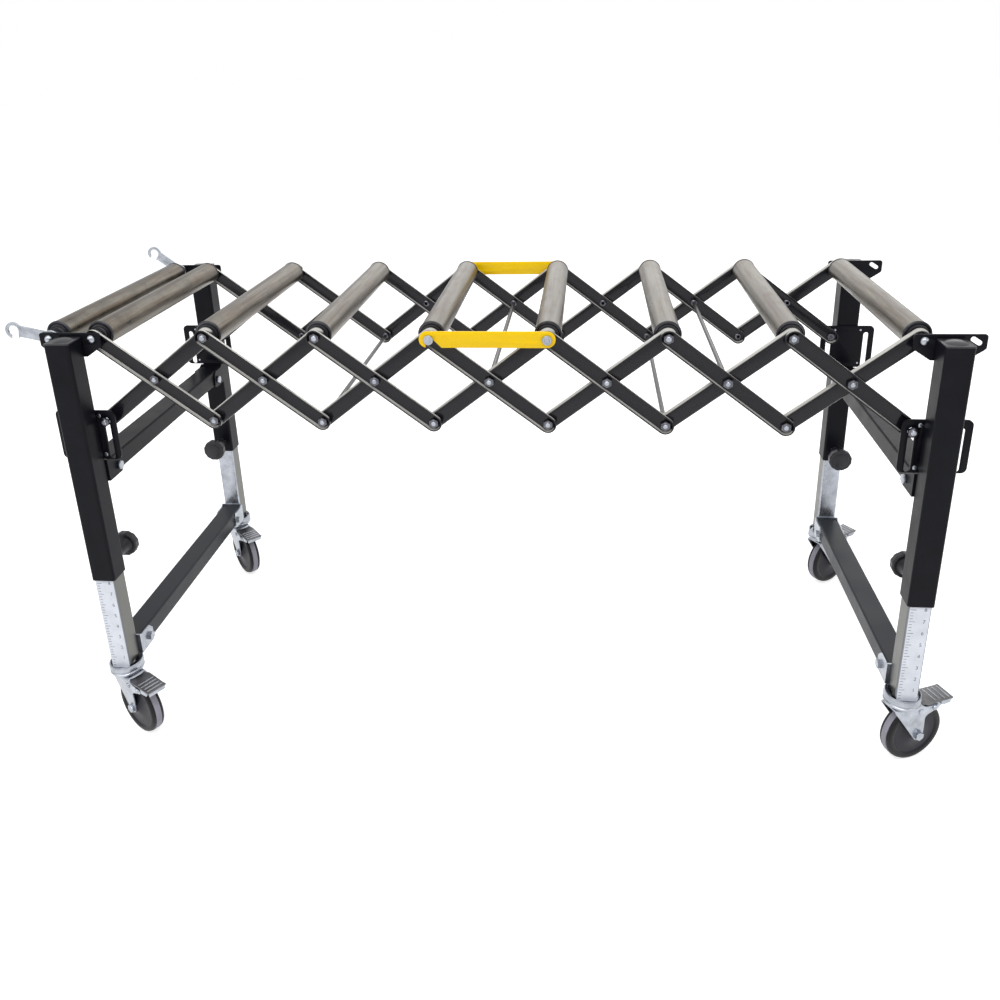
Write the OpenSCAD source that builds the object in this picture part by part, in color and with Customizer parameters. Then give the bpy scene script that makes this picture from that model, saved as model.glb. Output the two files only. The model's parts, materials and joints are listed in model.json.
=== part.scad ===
// Flexible roller conveyor: a pantograph of channel links carries rollers between
// two wheeled stands with telescopic legs. Millimetres, +Z up, floor at Z = 0.

/* [Row of rollers] */
// Spacing of the roller axles with the row pulled out
roller_pitch = 167.5; // [150:0.5:176]
// Distance between the two end pivots of a link
link_length = 212; // [204:1:236]
// Height of the roller axles above the floor
axis_height = 675; // [640:5:860]
// Spacing of the two holes in a top bracket
bolt_span = 66; // [58:1:90]

/* [Rollers] */
// Outside diameter of a roller tube
roller_d = 38; // [30:1:44]
// Wall of a roller tube
roller_wall = 1.6; // [1.2:0.1:2.5]
// Length of a roller tube
roller_len = 400; // [300:10:600]
// Diameter of the end cap's rim
cap_d = 39.5; // [34:0.5:46]
// Thickness of the end cap's rim
cap_rim = 3; // [2:0.5:5]
// Depth of the end cap inside the tube
cap_plug = 14; // [8:1:24]
// Diameter of the end cap's raised hub
hub_d = 25; // [18:1:28]
// Height of the end cap's raised hub
hub_len = 3.2; // [2:0.2:4]
// Diameter of the axles
axle_d = 8; // [6:0.5:10]

/* [Links] */
// Width of a link
link_w = 24.5; // [21:0.5:28]
// Sheet thickness of a link
link_t = 2; // [1.5:0.1:3]
// Depth of a link's turned edge
link_depth = 8; // [6:0.5:9]
// Gap between the webs of two crossing links
web_gap = 0.5; // [0.3:0.1:1]
// Diameter of the rivets and the cross rods
rivet_d = 7; // [5:0.5:8]
// Width across the flats of a nut
nut_af = 13; // [11:0.5:15]
// Height of a nut
nut_h = 5; // [3:0.5:5.5]

/* [Stands] */
// Width of an outer leg tube
leg_w = 38; // [34:1:46]
// Wall of an outer leg tube
leg_wall = 2; // [1.5:0.25:3]
// Length of an outer leg tube
leg_len = 390; // [360:2:440]
// Wall of an inner leg tube
inner_wall = 1.5; // [1:0.25:2.5]
// Length of an inner leg tube
inner_len = 418; // [380:2:440]
// Thickness of the bracket plates
plate_t = 3; // [2:0.5:4]
// How far a leg stands above the axles
leg_rise = 2; // [0:0.5:6]
// Height of a slot bracket
slot_plate_h = 80; // [76:1:100]
// How far the lower end pins can slide down
slot_travel = 57; // [40:1:58]
// Width of a cross tube
bar_w = 38; // [30:1:40]
// Height of a cross tube
bar_h = 30; // [24:1:40]
// Wall of a cross tube
bar_wall = 1.5; // [1:0.25:2.5]
// Length of a saddle along its cross tube
saddle_len = 42; // [38:1:60]
// Length of the slanted slots in the right top brackets
row_slot_len = 18; // [14:0.5:20]
// Width of the slanted slots
row_slot_w = 7; // [6:0.5:9]
// Diameter of a clamp knob
knob_d = 42; // [34:1:50]
// How far a clamp knob stands off its leg
knob_reach = 51; // [40:1:60]

/* [Hooks and locks] */
// From a hook's pivot to the middle of its mouth
hook_reach = 58; // [48:1:76]
// Width of a hook's shank
hook_w = 17; // [14:1:20]
// Radius of a hook's mouth
hook_mouth_r = 8; // [5:0.5:9]
// How far the front hook is tipped up
front_hook_tilt = 12; // [0:1:60]
// How far the rear hook is tipped up
rear_hook_tilt = 37; // [0:1:60]
// Width of a lock plate
lock_w = 24; // [20:1:28]

/* [Casters] */
// Diameter of a wheel
wheel_d = 100; // [92:1:102]
// Width of a wheel
wheel_w = 22; // [18:1:26]
// From the swivel axis to the wheel's axle
trail = 25; // [20:1:30]
// Height of the swivel head's top above the floor
head_top = 123; // [121:1:134]
// Diameter of the swivel head
head_d = 54; // [50:1:60]
// From the swivel axis to the tip of the brake pedal
pedal_reach = 84; // [76:1:96]
// Width of a brake pedal
pedal_w = 34; // [32:1:42]
// Headings of the casters: front left, rear left, front right, rear right
turn_front_left = -32; // [-40:1:40]
turn_rear_left = -46; // [-60:1:40]
turn_front_right = 24; // [-40:1:40]
turn_rear_right = 36; // [-40:1:60]

/* [Hidden] */
$fn = 48;

// Clearances
fit_gap = 0.1;     // round pins in their holes
open_gap = 0.25;   // more room where the linkage closes on itself
face_gap = 0.3;    // flat faces of pieces that turn on each other
slide_gap = 0.5;   // inner leg in outer leg, each side
plate_gap = 1.75;  // turned edge of an outer link to the bracket plates
slot_gap = 0.5;    // end pins in their slots, each side
bar_gap = 0.2;     // cross tube in its saddle
cut = 1;           // how far a cut runs past a face

// Pantograph at rest
cells = 7;
lattice_h = sqrt(pow(link_length, 2) - pow(roller_pitch, 2));
link_angle = acos(roller_pitch / link_length);
low_z = axis_height - lattice_h;
mid_z = axis_height - lattice_h / 2;
axle_r = axle_d / 2;
rivet_r = rivet_d / 2;
link_r = link_w / 2;

// Distances from the row's centre plane, from the rollers outwards
cap_face = roller_len / 2 + cap_rim;
hub_face = cap_face + hub_len;
lane_gap = 3.5;
inner_edge = hub_face + lane_gap;
inner_face = inner_edge + link_depth;
outer_face = inner_face + web_gap;
outer_web = outer_face + link_t;
outer_edge = outer_face + link_depth;
plate_in = outer_edge + plate_gap;
plate_out = plate_in + plate_t;
leg_y = plate_out + leg_w / 2;
lock_in = outer_edge + face_gap + 0.2;
lock_out = lock_in + plate_t;
hook_t = 3;
hook_in = plate_in - face_gap - hook_t - 2.7;

// Stands
leg_out = bolt_span / 2;
leg_top = axis_height + leg_rise;
leg_bottom = leg_top - leg_len;
inner_w = leg_w - 2 * leg_wall - 2 * slide_gap;
foot_gap = 3;
inner_bottom = head_top + foot_gap;
slot_r = axle_r + slot_gap;
slot_top = low_z + slot_gap;
slot_bottom = low_z - slot_travel - slot_gap;
plate_margin = 17;
slot_plate_top = low_z + plate_margin;
slot_plate_out = leg_out + plate_margin - 3;
sheet = 2.5;
crossbar_gap = 5;
crossbar_top = slot_plate_top - slot_plate_h - crossbar_gap;
crossbar_z = crossbar_top - bar_h;
foot_bar_z = inner_bottom + bar_gap + sheet;
knob_rise = 22;
knob_z = leg_bottom + knob_rise;
inner_leg_face = leg_y - inner_w / 2;
saddle_bolt_y = saddle_len - 12;
saddle_bolt_z = 11;
saddle_rise = 3;
bar_end_gap = sheet + 0.3;
bracket_end = 14;
bracket_rise = 9.5;
bracket_drop = 27;
row_slot_slant = 33;
pin_washer_r = axle_r + 2.5;

// Locks: the stud of the next axle is clear of its lock plate at this fold angle
clear_fold = 7;
clear_pitch = link_length * cos(link_angle + clear_fold);
lock_lean = atan2(roller_pitch - clear_pitch * cos(clear_fold), clear_pitch * sin(clear_fold));

// Casters
wheel_r = wheel_d / 2;
stem_r = 5;
head_r = head_d / 2;
head_h = 17;
yoke_t = 3;
yoke_z = head_top - head_h - yoke_t;
cheek_in = wheel_w / 2 + 3.5;
cheek_out = cheek_in + sheet;
boss_r = 9;
pedal_arm = 25;
pedal_x = trail + pedal_arm;
pedal_z = yoke_z - 8;
pedal_plate_z = yoke_z - 1;
pedal_start = head_r + 1.5;
pedal_pin_r = 3;
pedal_skirt = 5;
throat_r = 14;
dish_rise = foot_gap - 0.6;
stem_nut_z = yoke_z + 1;

// Middle of the object's box, so that it stands centred on the origin
function tip_x(a) = pedal_reach * cos(a) + pedal_w / 2 * abs(sin(a));
function tip_y(a) = pedal_reach * sin(a) + pedal_w / 2 * cos(a);
reach_left = bolt_span + hook_reach * cos(front_hook_tilt) + hook_mouth_r + 5;
reach_right = leg_out + max(tip_x(turn_front_right), tip_x(turn_rear_right));
reach_front = max(tip_y(-turn_front_left), tip_y(-turn_front_right));
reach_rear = max(tip_y(turn_rear_left), tip_y(turn_rear_right));
x_mid = (reach_left - reach_right) / 2;
y_mid = (reach_front - reach_rear) / 2;

function top_x(i) = x_mid + (i - cells / 2) * roller_pitch;
function end_x(e) = e < 0 ? top_x(0) : top_x(cells);
function leg_x(e) = end_x(e) + e * leg_out;

// Draws on the front (s = -1) or rear (s = 1) side with +Y pointing outwards
module on_side(s) {
  translate([0, y_mid, 0])
    if (s < 0) mirror([0, 1, 0]) children();
    else children();
}

// Draws at the left (e = -1) or right (e = 1) end with +X pointing outwards
module at_end(e) {
  translate([end_x(e), 0, 0])
    if (e < 0) mirror([1, 0, 0]) children();
    else children();
}

// Both corners of one stand
module at_corners(e) {
  at_end(e) for (s = [-1, 1]) on_side(s) children();
}

// Plate of a profile drawn in X and Z, from y0 outwards
module slab(y0, t) {
  translate([0, y0 + t, 0]) rotate([90, 0, 0]) linear_extrude(t) children();
}

// Round bar along Y
module rod(y0, y1, r) {
  translate([0, y1, 0]) rotate([90, 0, 0]) cylinder(h = y1 - y0, r = r);
}

// Hexagon along Y
module nut(y0, h = nut_h, af = nut_af) {
  translate([0, y0 + h, 0]) rotate([90, 30, 0])
    cylinder(h = h, r = af / 2 / cos(30), $fn = 6);
}

// Domed nut along Y, its seat at y0
module cap_nut(y0) {
  translate([0, y0, 0]) rotate([-90, 0, 0]) rotate_extrude()
    intersection() {
      translate([0, -nut_af / 2 + nut_h]) circle(nut_af / 2);
      square([nut_af, nut_h]);
    }
}

module stadium(length, r) {
  square([length, 2 * r], center = true);
  for (e = [-1, 1]) translate([e * length / 2, 0]) circle(r);
}

// Square with round corners
module soft_square(w, d, r) {
  square([w - 2 * r, d], center = true);
  square([w, d - 2 * r], center = true);
  for (a = [-1, 1]) for (b = [-1, 1])
    translate([a * (w / 2 - r), b * (d / 2 - r)]) circle(r);
}

module tube_profile(w, d, wall) {
  difference() {
    soft_square(w, d, 2 * wall);
    soft_square(w - 2 * wall, d - 2 * wall, wall);
  }
}

// Pressed channel link about its middle, web at y = 0, edges turned towards +Y
module channel_link(hole_r) {
  difference() {
    slab(0, link_depth) stadium(link_length, link_r);
    slab(link_t, link_depth) stadium(link_length, link_r - link_t);
    for (k = [0:2]) translate([(k - 1) * link_length / 2, 0, 0])
      rod(-cut, link_t + cut, hole_r[k]);
  }
}

// Link of cell i: falling (d = 1) or rising (d = -1), outside or inside its partner
module link_at(i, s, d, outside, hole_r) {
  translate([top_x(i) + roller_pitch / 2, 0, mid_z]) on_side(s)
    translate([0, outside ? outer_face : inner_face, 0])
      rotate([0, d * link_angle, 0])
        if (outside) channel_link(hole_r);
        else mirror([0, 1, 0]) channel_link(hole_r);
}

// Rivet through one side's two webs
module rivet() {
  rod(inner_face - link_t - face_gap - 3, outer_web + face_gap + nut_h + 1, rivet_r);
  rod(inner_face - link_t - face_gap - 3, inner_face - link_t - face_gap, nut_af / 2);
  nut(outer_web + face_gap);
}

// Pin pair of a falling link at x, z: two rivets, or one rod right across the row
module cross_pin(x, z, across) {
  translate([x, 0, z]) {
    for (s = [-1, 1]) on_side(s) rivet();
    if (across) on_side(1) rod(-inner_face, inner_face, rivet_r);
  }
}

function across_mid(i) = i == 1 || i == 3 || i == 5;
function across_low(i) = i == 2 || i == 5;

// End pin that slides in a slot bracket; web_in and web_out are its link's faces
module slot_pin(web_in, web_out) {
  shoulder = plate_in - face_gap;
  rod(web_in - face_gap - 3, plate_out + face_gap + 1.5 + nut_h + 1, axle_r);
  rod(web_in - face_gap - 3, web_in - face_gap, nut_af / 2);
  rod(web_out + face_gap, shoulder, nut_af / 2);
  rod(plate_out + face_gap, plate_out + face_gap + 1.5, pin_washer_r);
  nut(plate_out + face_gap + 1.5);
}

// Roller axle with spacer sleeves up to the inner webs
module lattice_axle(reach) {
  on_side(1) rod(-reach, reach, axle_r);
  for (s = [-1, 1]) on_side(s) {
    rod(hub_face + face_gap, inner_face - link_t - face_gap, axle_r + 3);
    nut(outer_web + face_gap);
  }
}

// Falling links of cell i with their middle and lower pins
module down_links(i) {
  end_r = i == cells - 1 ? axle_r : rivet_r;
  start_r = axle_r + fit_gap + (i % 2 == 1 ? open_gap : 0);
  holes = [start_r, rivet_r + fit_gap, end_r + fit_gap];
  color([0.13, 0.13, 0.15]) {
    link_at(i, -1, 1, true, holes);
    link_at(i, 1, 1, false, holes);
  }
  color([0.75, 0.76, 0.78]) {
    cross_pin(top_x(i) + roller_pitch / 2, mid_z, across_mid(i));
    if (i < cells - 1) cross_pin(top_x(i + 1), low_z, across_low(i + 1));
    else translate([top_x(i + 1), 0, low_z]) {
      on_side(-1) slot_pin(outer_face, outer_web);
      on_side(1) slot_pin(inner_face - link_t, inner_face);
    }
  }
}

// Rising links of cell i with the roller axle at their upper end
module up_links(i) {
  low_r = i == 0 ? axle_r : rivet_r;
  start_r = low_r + fit_gap + (i > 0 && i % 2 == 0 ? open_gap : 0);
  holes = [start_r, rivet_r + fit_gap, axle_r + fit_gap];
  locked = i + 1 == 3 || i + 1 == 4;
  color([0.13, 0.13, 0.15]) {
    link_at(i, -1, -1, false, holes);
    link_at(i, 1, -1, true, holes);
  }
  color([0.75, 0.76, 0.78]) {
    if (i < cells - 1) translate([top_x(i + 1), 0, axis_height]) {
      lattice_axle(locked ? lock_out + 1 : outer_web + nut_h + 1);
      if (locked) for (s = [-1, 1]) on_side(s)
        rod(lock_out + face_gap, lock_out + 3.5, nut_af / 2 + 0.5);
    }
    if (i == 0) translate([top_x(0), 0, low_z]) {
      on_side(-1) slot_pin(inner_face - link_t, inner_face);
      on_side(1) slot_pin(outer_face, outer_web);
    }
  }
}

// Roller: tube with a pressed-in end cap at each end
module roller(x) {
  tube_in = roller_d / 2 - roller_wall;
  translate([x, 0, axis_height]) {
    color([0.62, 0.6, 0.55]) on_side(1) difference() {
      rod(-roller_len / 2, roller_len / 2, roller_d / 2);
      rod(-roller_len, roller_len, tube_in);
    }
    color([0.12, 0.12, 0.13]) for (s = [-1, 1]) on_side(s) difference() {
      union() {
        rod(roller_len / 2 - cap_plug, roller_len / 2 + cut, tube_in - fit_gap);
        rod(roller_len / 2 + 0.05, cap_face, cap_d / 2);
        rod(cap_face - cut, cap_face + hub_len / 2, hub_d / 2 + 2.5);
        rod(cap_face - cut, hub_face, hub_d / 2 - 2);
      }
      rod(0, roller_len, axle_r + fit_gap);
    }
  }
}

// Saddle for a cross tube: two cheeks on a back plate against the leg's face at y1
module saddle(y1, z0) {
  half = bar_w / 2 + bar_gap;
  width = 2 * (half + sheet);
  low = z0 - bar_gap - sheet;
  high = z0 + bar_h;
  top = high + saddle_rise;
  difference() {
    union() {
      for (m = [-1, 1]) translate([m * (half + sheet / 2) - sheet / 2, 0, 0]) rotate([90, 0, 90])
        linear_extrude(sheet) polygon([[y1, low], [y1, top], [y1 - sheet, top], [y1 - 10, high - 1],
          [y1 - saddle_len + 9, high - 1], [y1 - saddle_len, high - 10], [y1 - saddle_len, low + 4],
          [y1 - saddle_len + 4, low]]);
      translate([-half - sheet, y1 - sheet, low]) cube([width, sheet, top - low]);
      translate([-half - sheet, y1 - saddle_len + 4, low]) cube([width, saddle_len - 4, sheet]);
    }
    translate([0, y1 - saddle_bolt_y, z0 + saddle_bolt_z]) cross_hole(axle_r - 1 + fit_gap);
  }
}

// Cutter for a hole right through, along X
module cross_hole(r) {
  rotate([0, 90, 0]) cylinder(h = 2 * leg_w, r = r, center = true);
}

// Bolt across a saddle, drawn about its own axis along X
module saddle_bolt() {
  half = bar_w / 2 + bar_gap + sheet;
  rotate([0, 0, -90]) {
    rod(-half - nut_h, half + nut_h + 1, axle_r - 1);
    nut(half);
    nut(-half - nut_h);
  }
}

module outer_legs(e) {
  color([0.11, 0.11, 0.12]) at_corners(e) translate([leg_out, 0, 0]) difference() {
    union() {
      translate([0, leg_y, leg_bottom]) linear_extrude(leg_len) tube_profile(leg_w, leg_w, leg_wall);
      saddle(plate_out, crossbar_z);
    }
    translate([0, 0, knob_z]) rod(plate_out - cut, plate_out + leg_wall + cut, axle_r + fit_gap);
  }
}

// Plugs with a raised round boss in the tops of the outer legs
module leg_caps(e) {
  plug = leg_w - 2 * leg_wall - 2 * fit_gap;
  color([0.16, 0.16, 0.17]) at_corners(e) translate([leg_out, leg_y, leg_top]) {
    translate([0, 0, -12]) linear_extrude(12 + cut) soft_square(plug, plug, leg_wall);
    translate([0, 0, 0.05]) linear_extrude(2) soft_square(leg_w, leg_w, 3);
    translate([0, 0, 2]) rotate_extrude() intersection() {
      translate([0, -leg_w * 0.9]) circle(leg_w * 0.9 + 3.5);
      square([leg_w * 0.4, 4]);
    }
  }
}

// Top bracket. At the right end its outer hole is a slot that slants down outwards.
module bracket_profile(e) {
  half = leg_out + bracket_end;
  top = bracket_rise;
  low = -bracket_drop;
  difference() {
    translate([leg_out, 0]) {
      polygon([[-half + 4, top], [half - 4, top], [half, top - 4], [half, -10], [half - 3, -13],
        [leg_w / 2 + 4, low], [-leg_w / 2 - 4, low], [-half + 3, -13], [-half, -10], [-half, top - 4]]);
      for (m = [-1, 1]) translate([m * (half - 4), top - 4]) circle(4);
    }
    circle(axle_r + fit_gap);
    translate([bolt_span, 0]) {
      if (e < 0) circle(axle_r + fit_gap);
      else rotate(-row_slot_slant) stadium(row_slot_len - row_slot_w, row_slot_w / 2);
    }
  }
}

module top_brackets(e) {
  color([0.1, 0.1, 0.11]) at_corners(e) translate([0, 0, axis_height])
    slab(plate_in, plate_t) bracket_profile(e);
}

// Plate with a slot for the end pin and its mirror image beyond the leg
module slot_brackets(e) {
  slot_len = slot_top - slot_bottom;
  color([0.1, 0.1, 0.11]) at_corners(e) slab(plate_in, plate_t) difference() {
    translate([leg_out, slot_plate_top - slot_plate_h / 2])
      soft_square(2 * slot_plate_out, slot_plate_h, 8);
    for (x = [0, bolt_span]) translate([x, (slot_top + slot_bottom) / 2])
      rotate(90) stadium(slot_len, slot_r);
    for (x = rivet_xs()) for (z = rivet_zs()) translate([x, z]) circle(2 + fit_gap);
  }
}

function rivet_xs() = [leg_out - leg_w / 2 - 3.8, leg_out + leg_w / 2 + 3.8];
function rivet_zs() = [slot_plate_top - 8, slot_plate_top - slot_plate_h + 8];

// Cross tube between two saddles whose legs' inner faces are at y1
module crossbar(e, y1, z0) {
  y_end = y1 - bar_end_gap;
  translate([leg_x(e), 0, 0]) difference() {
    on_side(1) translate([0, y_end, z0 + bar_h / 2]) rotate([90, 0, 0])
      linear_extrude(2 * y_end) tube_profile(bar_w, bar_h, bar_wall);
    for (s = [-1, 1]) on_side(s) translate([0, y1 - saddle_bolt_y, z0 + saddle_bolt_z])
      cross_hole(axle_r - 1 + fit_gap);
  }
}

module upper_crossbar(e) {
  color([0.14, 0.14, 0.16]) crossbar(e, plate_out, crossbar_z);
}

module foot_bar(e) {
  color([0.14, 0.14, 0.16]) crossbar(e, inner_leg_face, foot_bar_z);
}

// Zinc fasteners that stay with a stand
module fasteners(e) {
  color([0.8, 0.81, 0.83]) {
    at_corners(e) translate([leg_out, 0, 0]) {
      translate([0, plate_out - saddle_bolt_y, crossbar_z + saddle_bolt_z]) saddle_bolt();
      translate([0, 0, knob_z]) difference() {
        nut(plate_out - 4.5, 4.5, nut_af + 2);
        rod(plate_out - leg_w, plate_out + cut, axle_r + fit_gap);
      }
    }
    at_corners(e) for (x = rivet_xs()) for (z = rivet_zs()) translate([x, 0, z]) {
      rod(plate_in, plate_out + 1, 2);
      rod(plate_out, plate_out + 1.6, 3.4);
    }
    if (e > 0) right_axles();
  }
}

// End axle of the row: sleeves fill the way from the hub to the plates around the link
module end_axle(s, outside) {
  web_in = outside ? outer_face : inner_face - link_t;
  web_out = web_in + link_t;
  on_side(s) {
    rod(hub_face + face_gap, web_in - face_gap, axle_r + 3);
    rod(web_out + face_gap, plate_in, axle_r + 2.5);
    cap_nut(plate_out);
  }
}

module axle_rod() {
  on_side(1) rod(-plate_out - 1, plate_out + 1, axle_r);
}

module left_axles() {
  color([0.8, 0.81, 0.83]) {
    translate([top_x(0), 0, axis_height]) {
      axle_rod();
      end_axle(-1, true);
      end_axle(1, false);
    }
    translate([top_x(0) - bolt_span, 0, axis_height]) {
      axle_rod();
      for (s = [-1, 1]) on_side(s) {
        rod(hub_face + face_gap, hook_in - face_gap, axle_r + 3);
        rod(hook_in + hook_t + face_gap, plate_in, axle_r + 3);
        cap_nut(plate_out);
      }
    }
  }
}

module right_axles() {
  translate([top_x(cells), 0, axis_height]) {
    axle_rod();
    end_axle(-1, false);
    end_axle(1, true);
  }
}

// Inner legs with welded saddles, and the caster stems plugged into their feet
module inner_legs(e) {
  color([0.78, 0.79, 0.8]) at_corners(e) translate([leg_out, 0, 0]) {
    translate([0, leg_y, inner_bottom]) linear_extrude(inner_len) tube_profile(inner_w, inner_w, inner_wall);
    saddle(inner_leg_face, foot_bar_z);
    translate([0, inner_leg_face - saddle_bolt_y, foot_bar_z + saddle_bolt_z]) saddle_bolt();
    translate([0, leg_y, 0]) caster_stem();
  }
}

module caster_stem() {
  plug = inner_w - 2 * inner_wall - 2 * fit_gap;
  translate([0, 0, stem_nut_z]) cylinder(h = inner_bottom + 14 - stem_nut_z, r = stem_r);
  translate([0, 0, stem_nut_z]) cylinder(h = nut_h, r = stem_r + 4);
  translate([0, 0, head_top + face_gap]) cylinder(h = foot_gap - face_gap, r = 11);
  translate([0, 0, inner_bottom]) linear_extrude(16) soft_square(plug, plug, inner_wall);
}

// Clamp knob: its screw runs through the leg wall and stops just short of the inner leg
module knob(e, s) {
  tip = inner_leg_face - face_gap;
  face = plate_out - knob_reach;
  head_t = 15;
  color([0.08, 0.08, 0.09]) at_end(e) on_side(s) translate([leg_out, 0, knob_z]) {
    rod(face + head_t, tip, axle_r);
    slab(face + 2, head_t - 2) knob_profile(knob_d / 2);
    rod(face, face + 3, knob_d / 2 - 4);
    translate([0, plate_out - 5, 0]) rotate([90, 0, 0])
      cylinder(h = knob_reach - 5 - head_t + cut, r1 = 9, r2 = 13);
  }
}

// Round head with shallow hollows for the fingers
module knob_profile(r) {
  lobes = 8;
  difference() {
    circle(r);
    for (k = [1:lobes]) rotate(k * 360 / lobes) translate([r + 4.5, 0]) circle(6);
  }
}

// Places a caster piece: origin on the floor under the swivel axis, trailing towards +X
module at_caster(e, s, turn) {
  translate([leg_x(e), y_mid + s * leg_y, 0]) rotate([0, 0, turn]) children();
}

// Cheek of a fork: from the head down to the axle's boss, with a wing that carries the pedal
module cheek_profile() {
  throat = [trail + boss_r + throat_r, pedal_z - 7 - throat_r];
  difference() {
    union() {
      polygon([[-head_r + 6, yoke_z + yoke_t], [-head_r + 5, yoke_z - 4],
        [trail - boss_r * 0.95, wheel_r - 3], [trail + boss_r, wheel_r], throat - [throat_r, 0],
        throat + [0, throat_r], [pedal_x + 7, pedal_z - 3], [pedal_x + 8, pedal_z + 2],
        [head_r + 4, yoke_z - 4], [head_r - 3, yoke_z + yoke_t]]);
      translate([trail, wheel_r]) circle(boss_r);
    }
    translate(throat) circle(throat_r);
    translate([trail, wheel_r]) circle(axle_r + fit_gap);
    translate([pedal_x, pedal_z]) circle(pedal_pin_r + fit_gap);
  }
}

// Swivel head from its middle outwards: a dish with a raised rim round the leg's foot, over two races
function head_points() = [[0, 0], [13, 0], [14.5, -1.5], [head_r - 4.5, -1.5], [head_r - 2.8, dish_rise],
  [head_r - 0.8, dish_rise], [head_r, dish_rise - 1.5], [head_r, -7], [head_r - 1.5, -8],
  [head_r - 1.5, -9.5], [head_r, -10.5], [head_r, -head_h + 2], [head_r - 3, -head_h], [0, -head_h]];

// Swivel head, yoke and cheeks, with the wheel bolt and the pedal's pivot pins
module fork(e, s, turn) {
  color([0.72, 0.74, 0.77]) at_caster(e, s, turn) {
    difference() {
      union() {
        translate([0, 0, head_top]) rotate_extrude() polygon(head_points());
        translate([-head_r + 6, -cheek_out, yoke_z]) cube([2 * head_r - 9, 2 * cheek_out, yoke_t + 0.5]);
        for (m = [-1, 1]) translate([0, m * (cheek_in + sheet / 2), 0])
          slab(-sheet / 2, sheet) cheek_profile();
      }
      translate([0, 0, yoke_z - cut]) cylinder(h = head_top, r = stem_r + fit_gap);
      translate([0, 0, yoke_z - cut]) cylinder(h = nut_h + 2 + cut, r = stem_r + 5);
    }
    translate([trail, 0, wheel_r]) {
      rod(-cheek_out - nut_h, cheek_out + nut_h + 2, axle_r);
      nut(cheek_out + 0.05);
      nut(-cheek_out - nut_h - 0.05);
    }
    for (m = [-1, 1]) translate([pedal_x, 0, pedal_z]) mirror([0, m < 0 ? 1 : 0, 0]) {
      rod(cheek_in - sheet, cheek_out + 0.05, pedal_pin_r);
      rod(cheek_out + 0.05, cheek_out + 2.5, pedal_pin_r + 1.6);
    }
  }
}

// Wheel: hub disc with raised rims, and a tread band in the groove between them
module wheel(e, s, turn) {
  tread = wheel_w * 0.45;
  bed = wheel_r - 8;
  hub_y = cheek_in - face_gap;
  at_caster(e, s, turn) translate([trail, 0, wheel_r]) rotate([90, 0, 0]) {
    color([0.2, 0.2, 0.23]) rotate_extrude() difference() {
      union() {
        translate([0, -hub_y]) square([axle_r + 6, 2 * hub_y]);
        for (m = [-1, 1]) mirror([0, m < 0 ? 1 : 0]) polygon([[0, 0], [bed, 0], [bed, tread / 2],
          [wheel_r - 0.5, tread / 2], [wheel_r - 1, wheel_w / 2 - 2.5], [wheel_r - 3.5, wheel_w / 2],
          [wheel_r - 10, wheel_w / 2], [wheel_r - 13, wheel_w / 2 - 2.5], [axle_r + 12, wheel_w / 2 - 1.5],
          [0, wheel_w / 2]]);
      }
      translate([0, -wheel_w]) square([axle_r + fit_gap, 2 * wheel_w]);
    }
    color([0.5, 0.5, 0.53]) rotate_extrude()
      translate([bed + 0.05, -tread / 2 + 0.05]) square([wheel_r - bed - 0.05, tread - 0.1]);
  }
}

// Outline of a pedal's plate from above: hollowed round the head, narrow between the cheeks
module pedal_plan(ear_out) {
  half = pedal_w / 2;
  difference() {
    polygon([[pedal_start - 3, -ear_out], [pedal_start + 3, -ear_out], [pedal_start + 6, -half],
      [pedal_reach, -half], [pedal_reach, half], [pedal_start + 6, half], [pedal_start + 3, ear_out],
      [pedal_start - 3, ear_out]]);
    circle(pedal_start);
  }
}

// Brake pedal: ribbed plate with turned-down edges on two ears, with a shoe over the wheel
module pedal(e, s, turn) {
  ear_out = cheek_in - face_gap;
  shoe_x = pedal_x + 8;
  skirt_x = pedal_x + 12;
  skirt_h = pedal_skirt + sheet;
  color([0.66, 0.68, 0.71]) at_caster(e, s, turn) difference() {
    union() {
      translate([0, 0, pedal_plate_z]) linear_extrude(sheet) pedal_plan(ear_out);
      translate([pedal_reach - sheet, -pedal_w / 2, pedal_plate_z - pedal_skirt])
        cube([sheet, pedal_w, skirt_h]);
      for (m = [-1, 1]) translate([skirt_x, m * (pedal_w - sheet) / 2 - sheet / 2,
        pedal_plate_z - pedal_skirt]) cube([pedal_reach - skirt_x, sheet, skirt_h]);
      for (k = [0:3]) translate([pedal_reach - 12 - k * 9, -pedal_w / 2 + 3, pedal_plate_z + sheet - 0.5])
        cube([2.6, pedal_w - 6, 2]);
      for (m = [-1, 1]) translate([0, m * (ear_out - sheet / 2), 0]) slab(-sheet / 2, sheet)
        polygon([[pedal_x - 12, pedal_plate_z + 1], [pedal_x - 6, pedal_z - 3], [pedal_x - 3, pedal_z - 6],
          [pedal_x + 5, pedal_z - 6], [pedal_reach - 4, pedal_plate_z - 3],
          [pedal_reach - 4, pedal_plate_z + 1]]);
      translate([shoe_x, -ear_out + 1, pedal_z - 3.5])
        cube([6, 2 * ear_out - 2, pedal_plate_z + 4.5 - pedal_z]);
    }
    translate([pedal_x, 0, pedal_z]) rod(-leg_w, leg_w, pedal_pin_r + fit_gap);
  }
}

// Hook plate about its pivot, pointing to -X, its mouth open downwards
module hook_profile() {
  eye = [-hook_reach, -1];
  difference() {
    union() {
      circle(hook_w / 2 + 3);
      translate([-hook_reach, -hook_w / 2]) square([hook_reach, hook_w]);
      translate(eye) circle(hook_mouth_r + 5);
    }
    circle(axle_r + fit_gap);
    translate(eye) circle(hook_mouth_r);
    translate([eye[0] - 3, eye[1] - 2 * hook_mouth_r]) square([hook_mouth_r + 3, 2 * hook_mouth_r]);
  }
}

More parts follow.
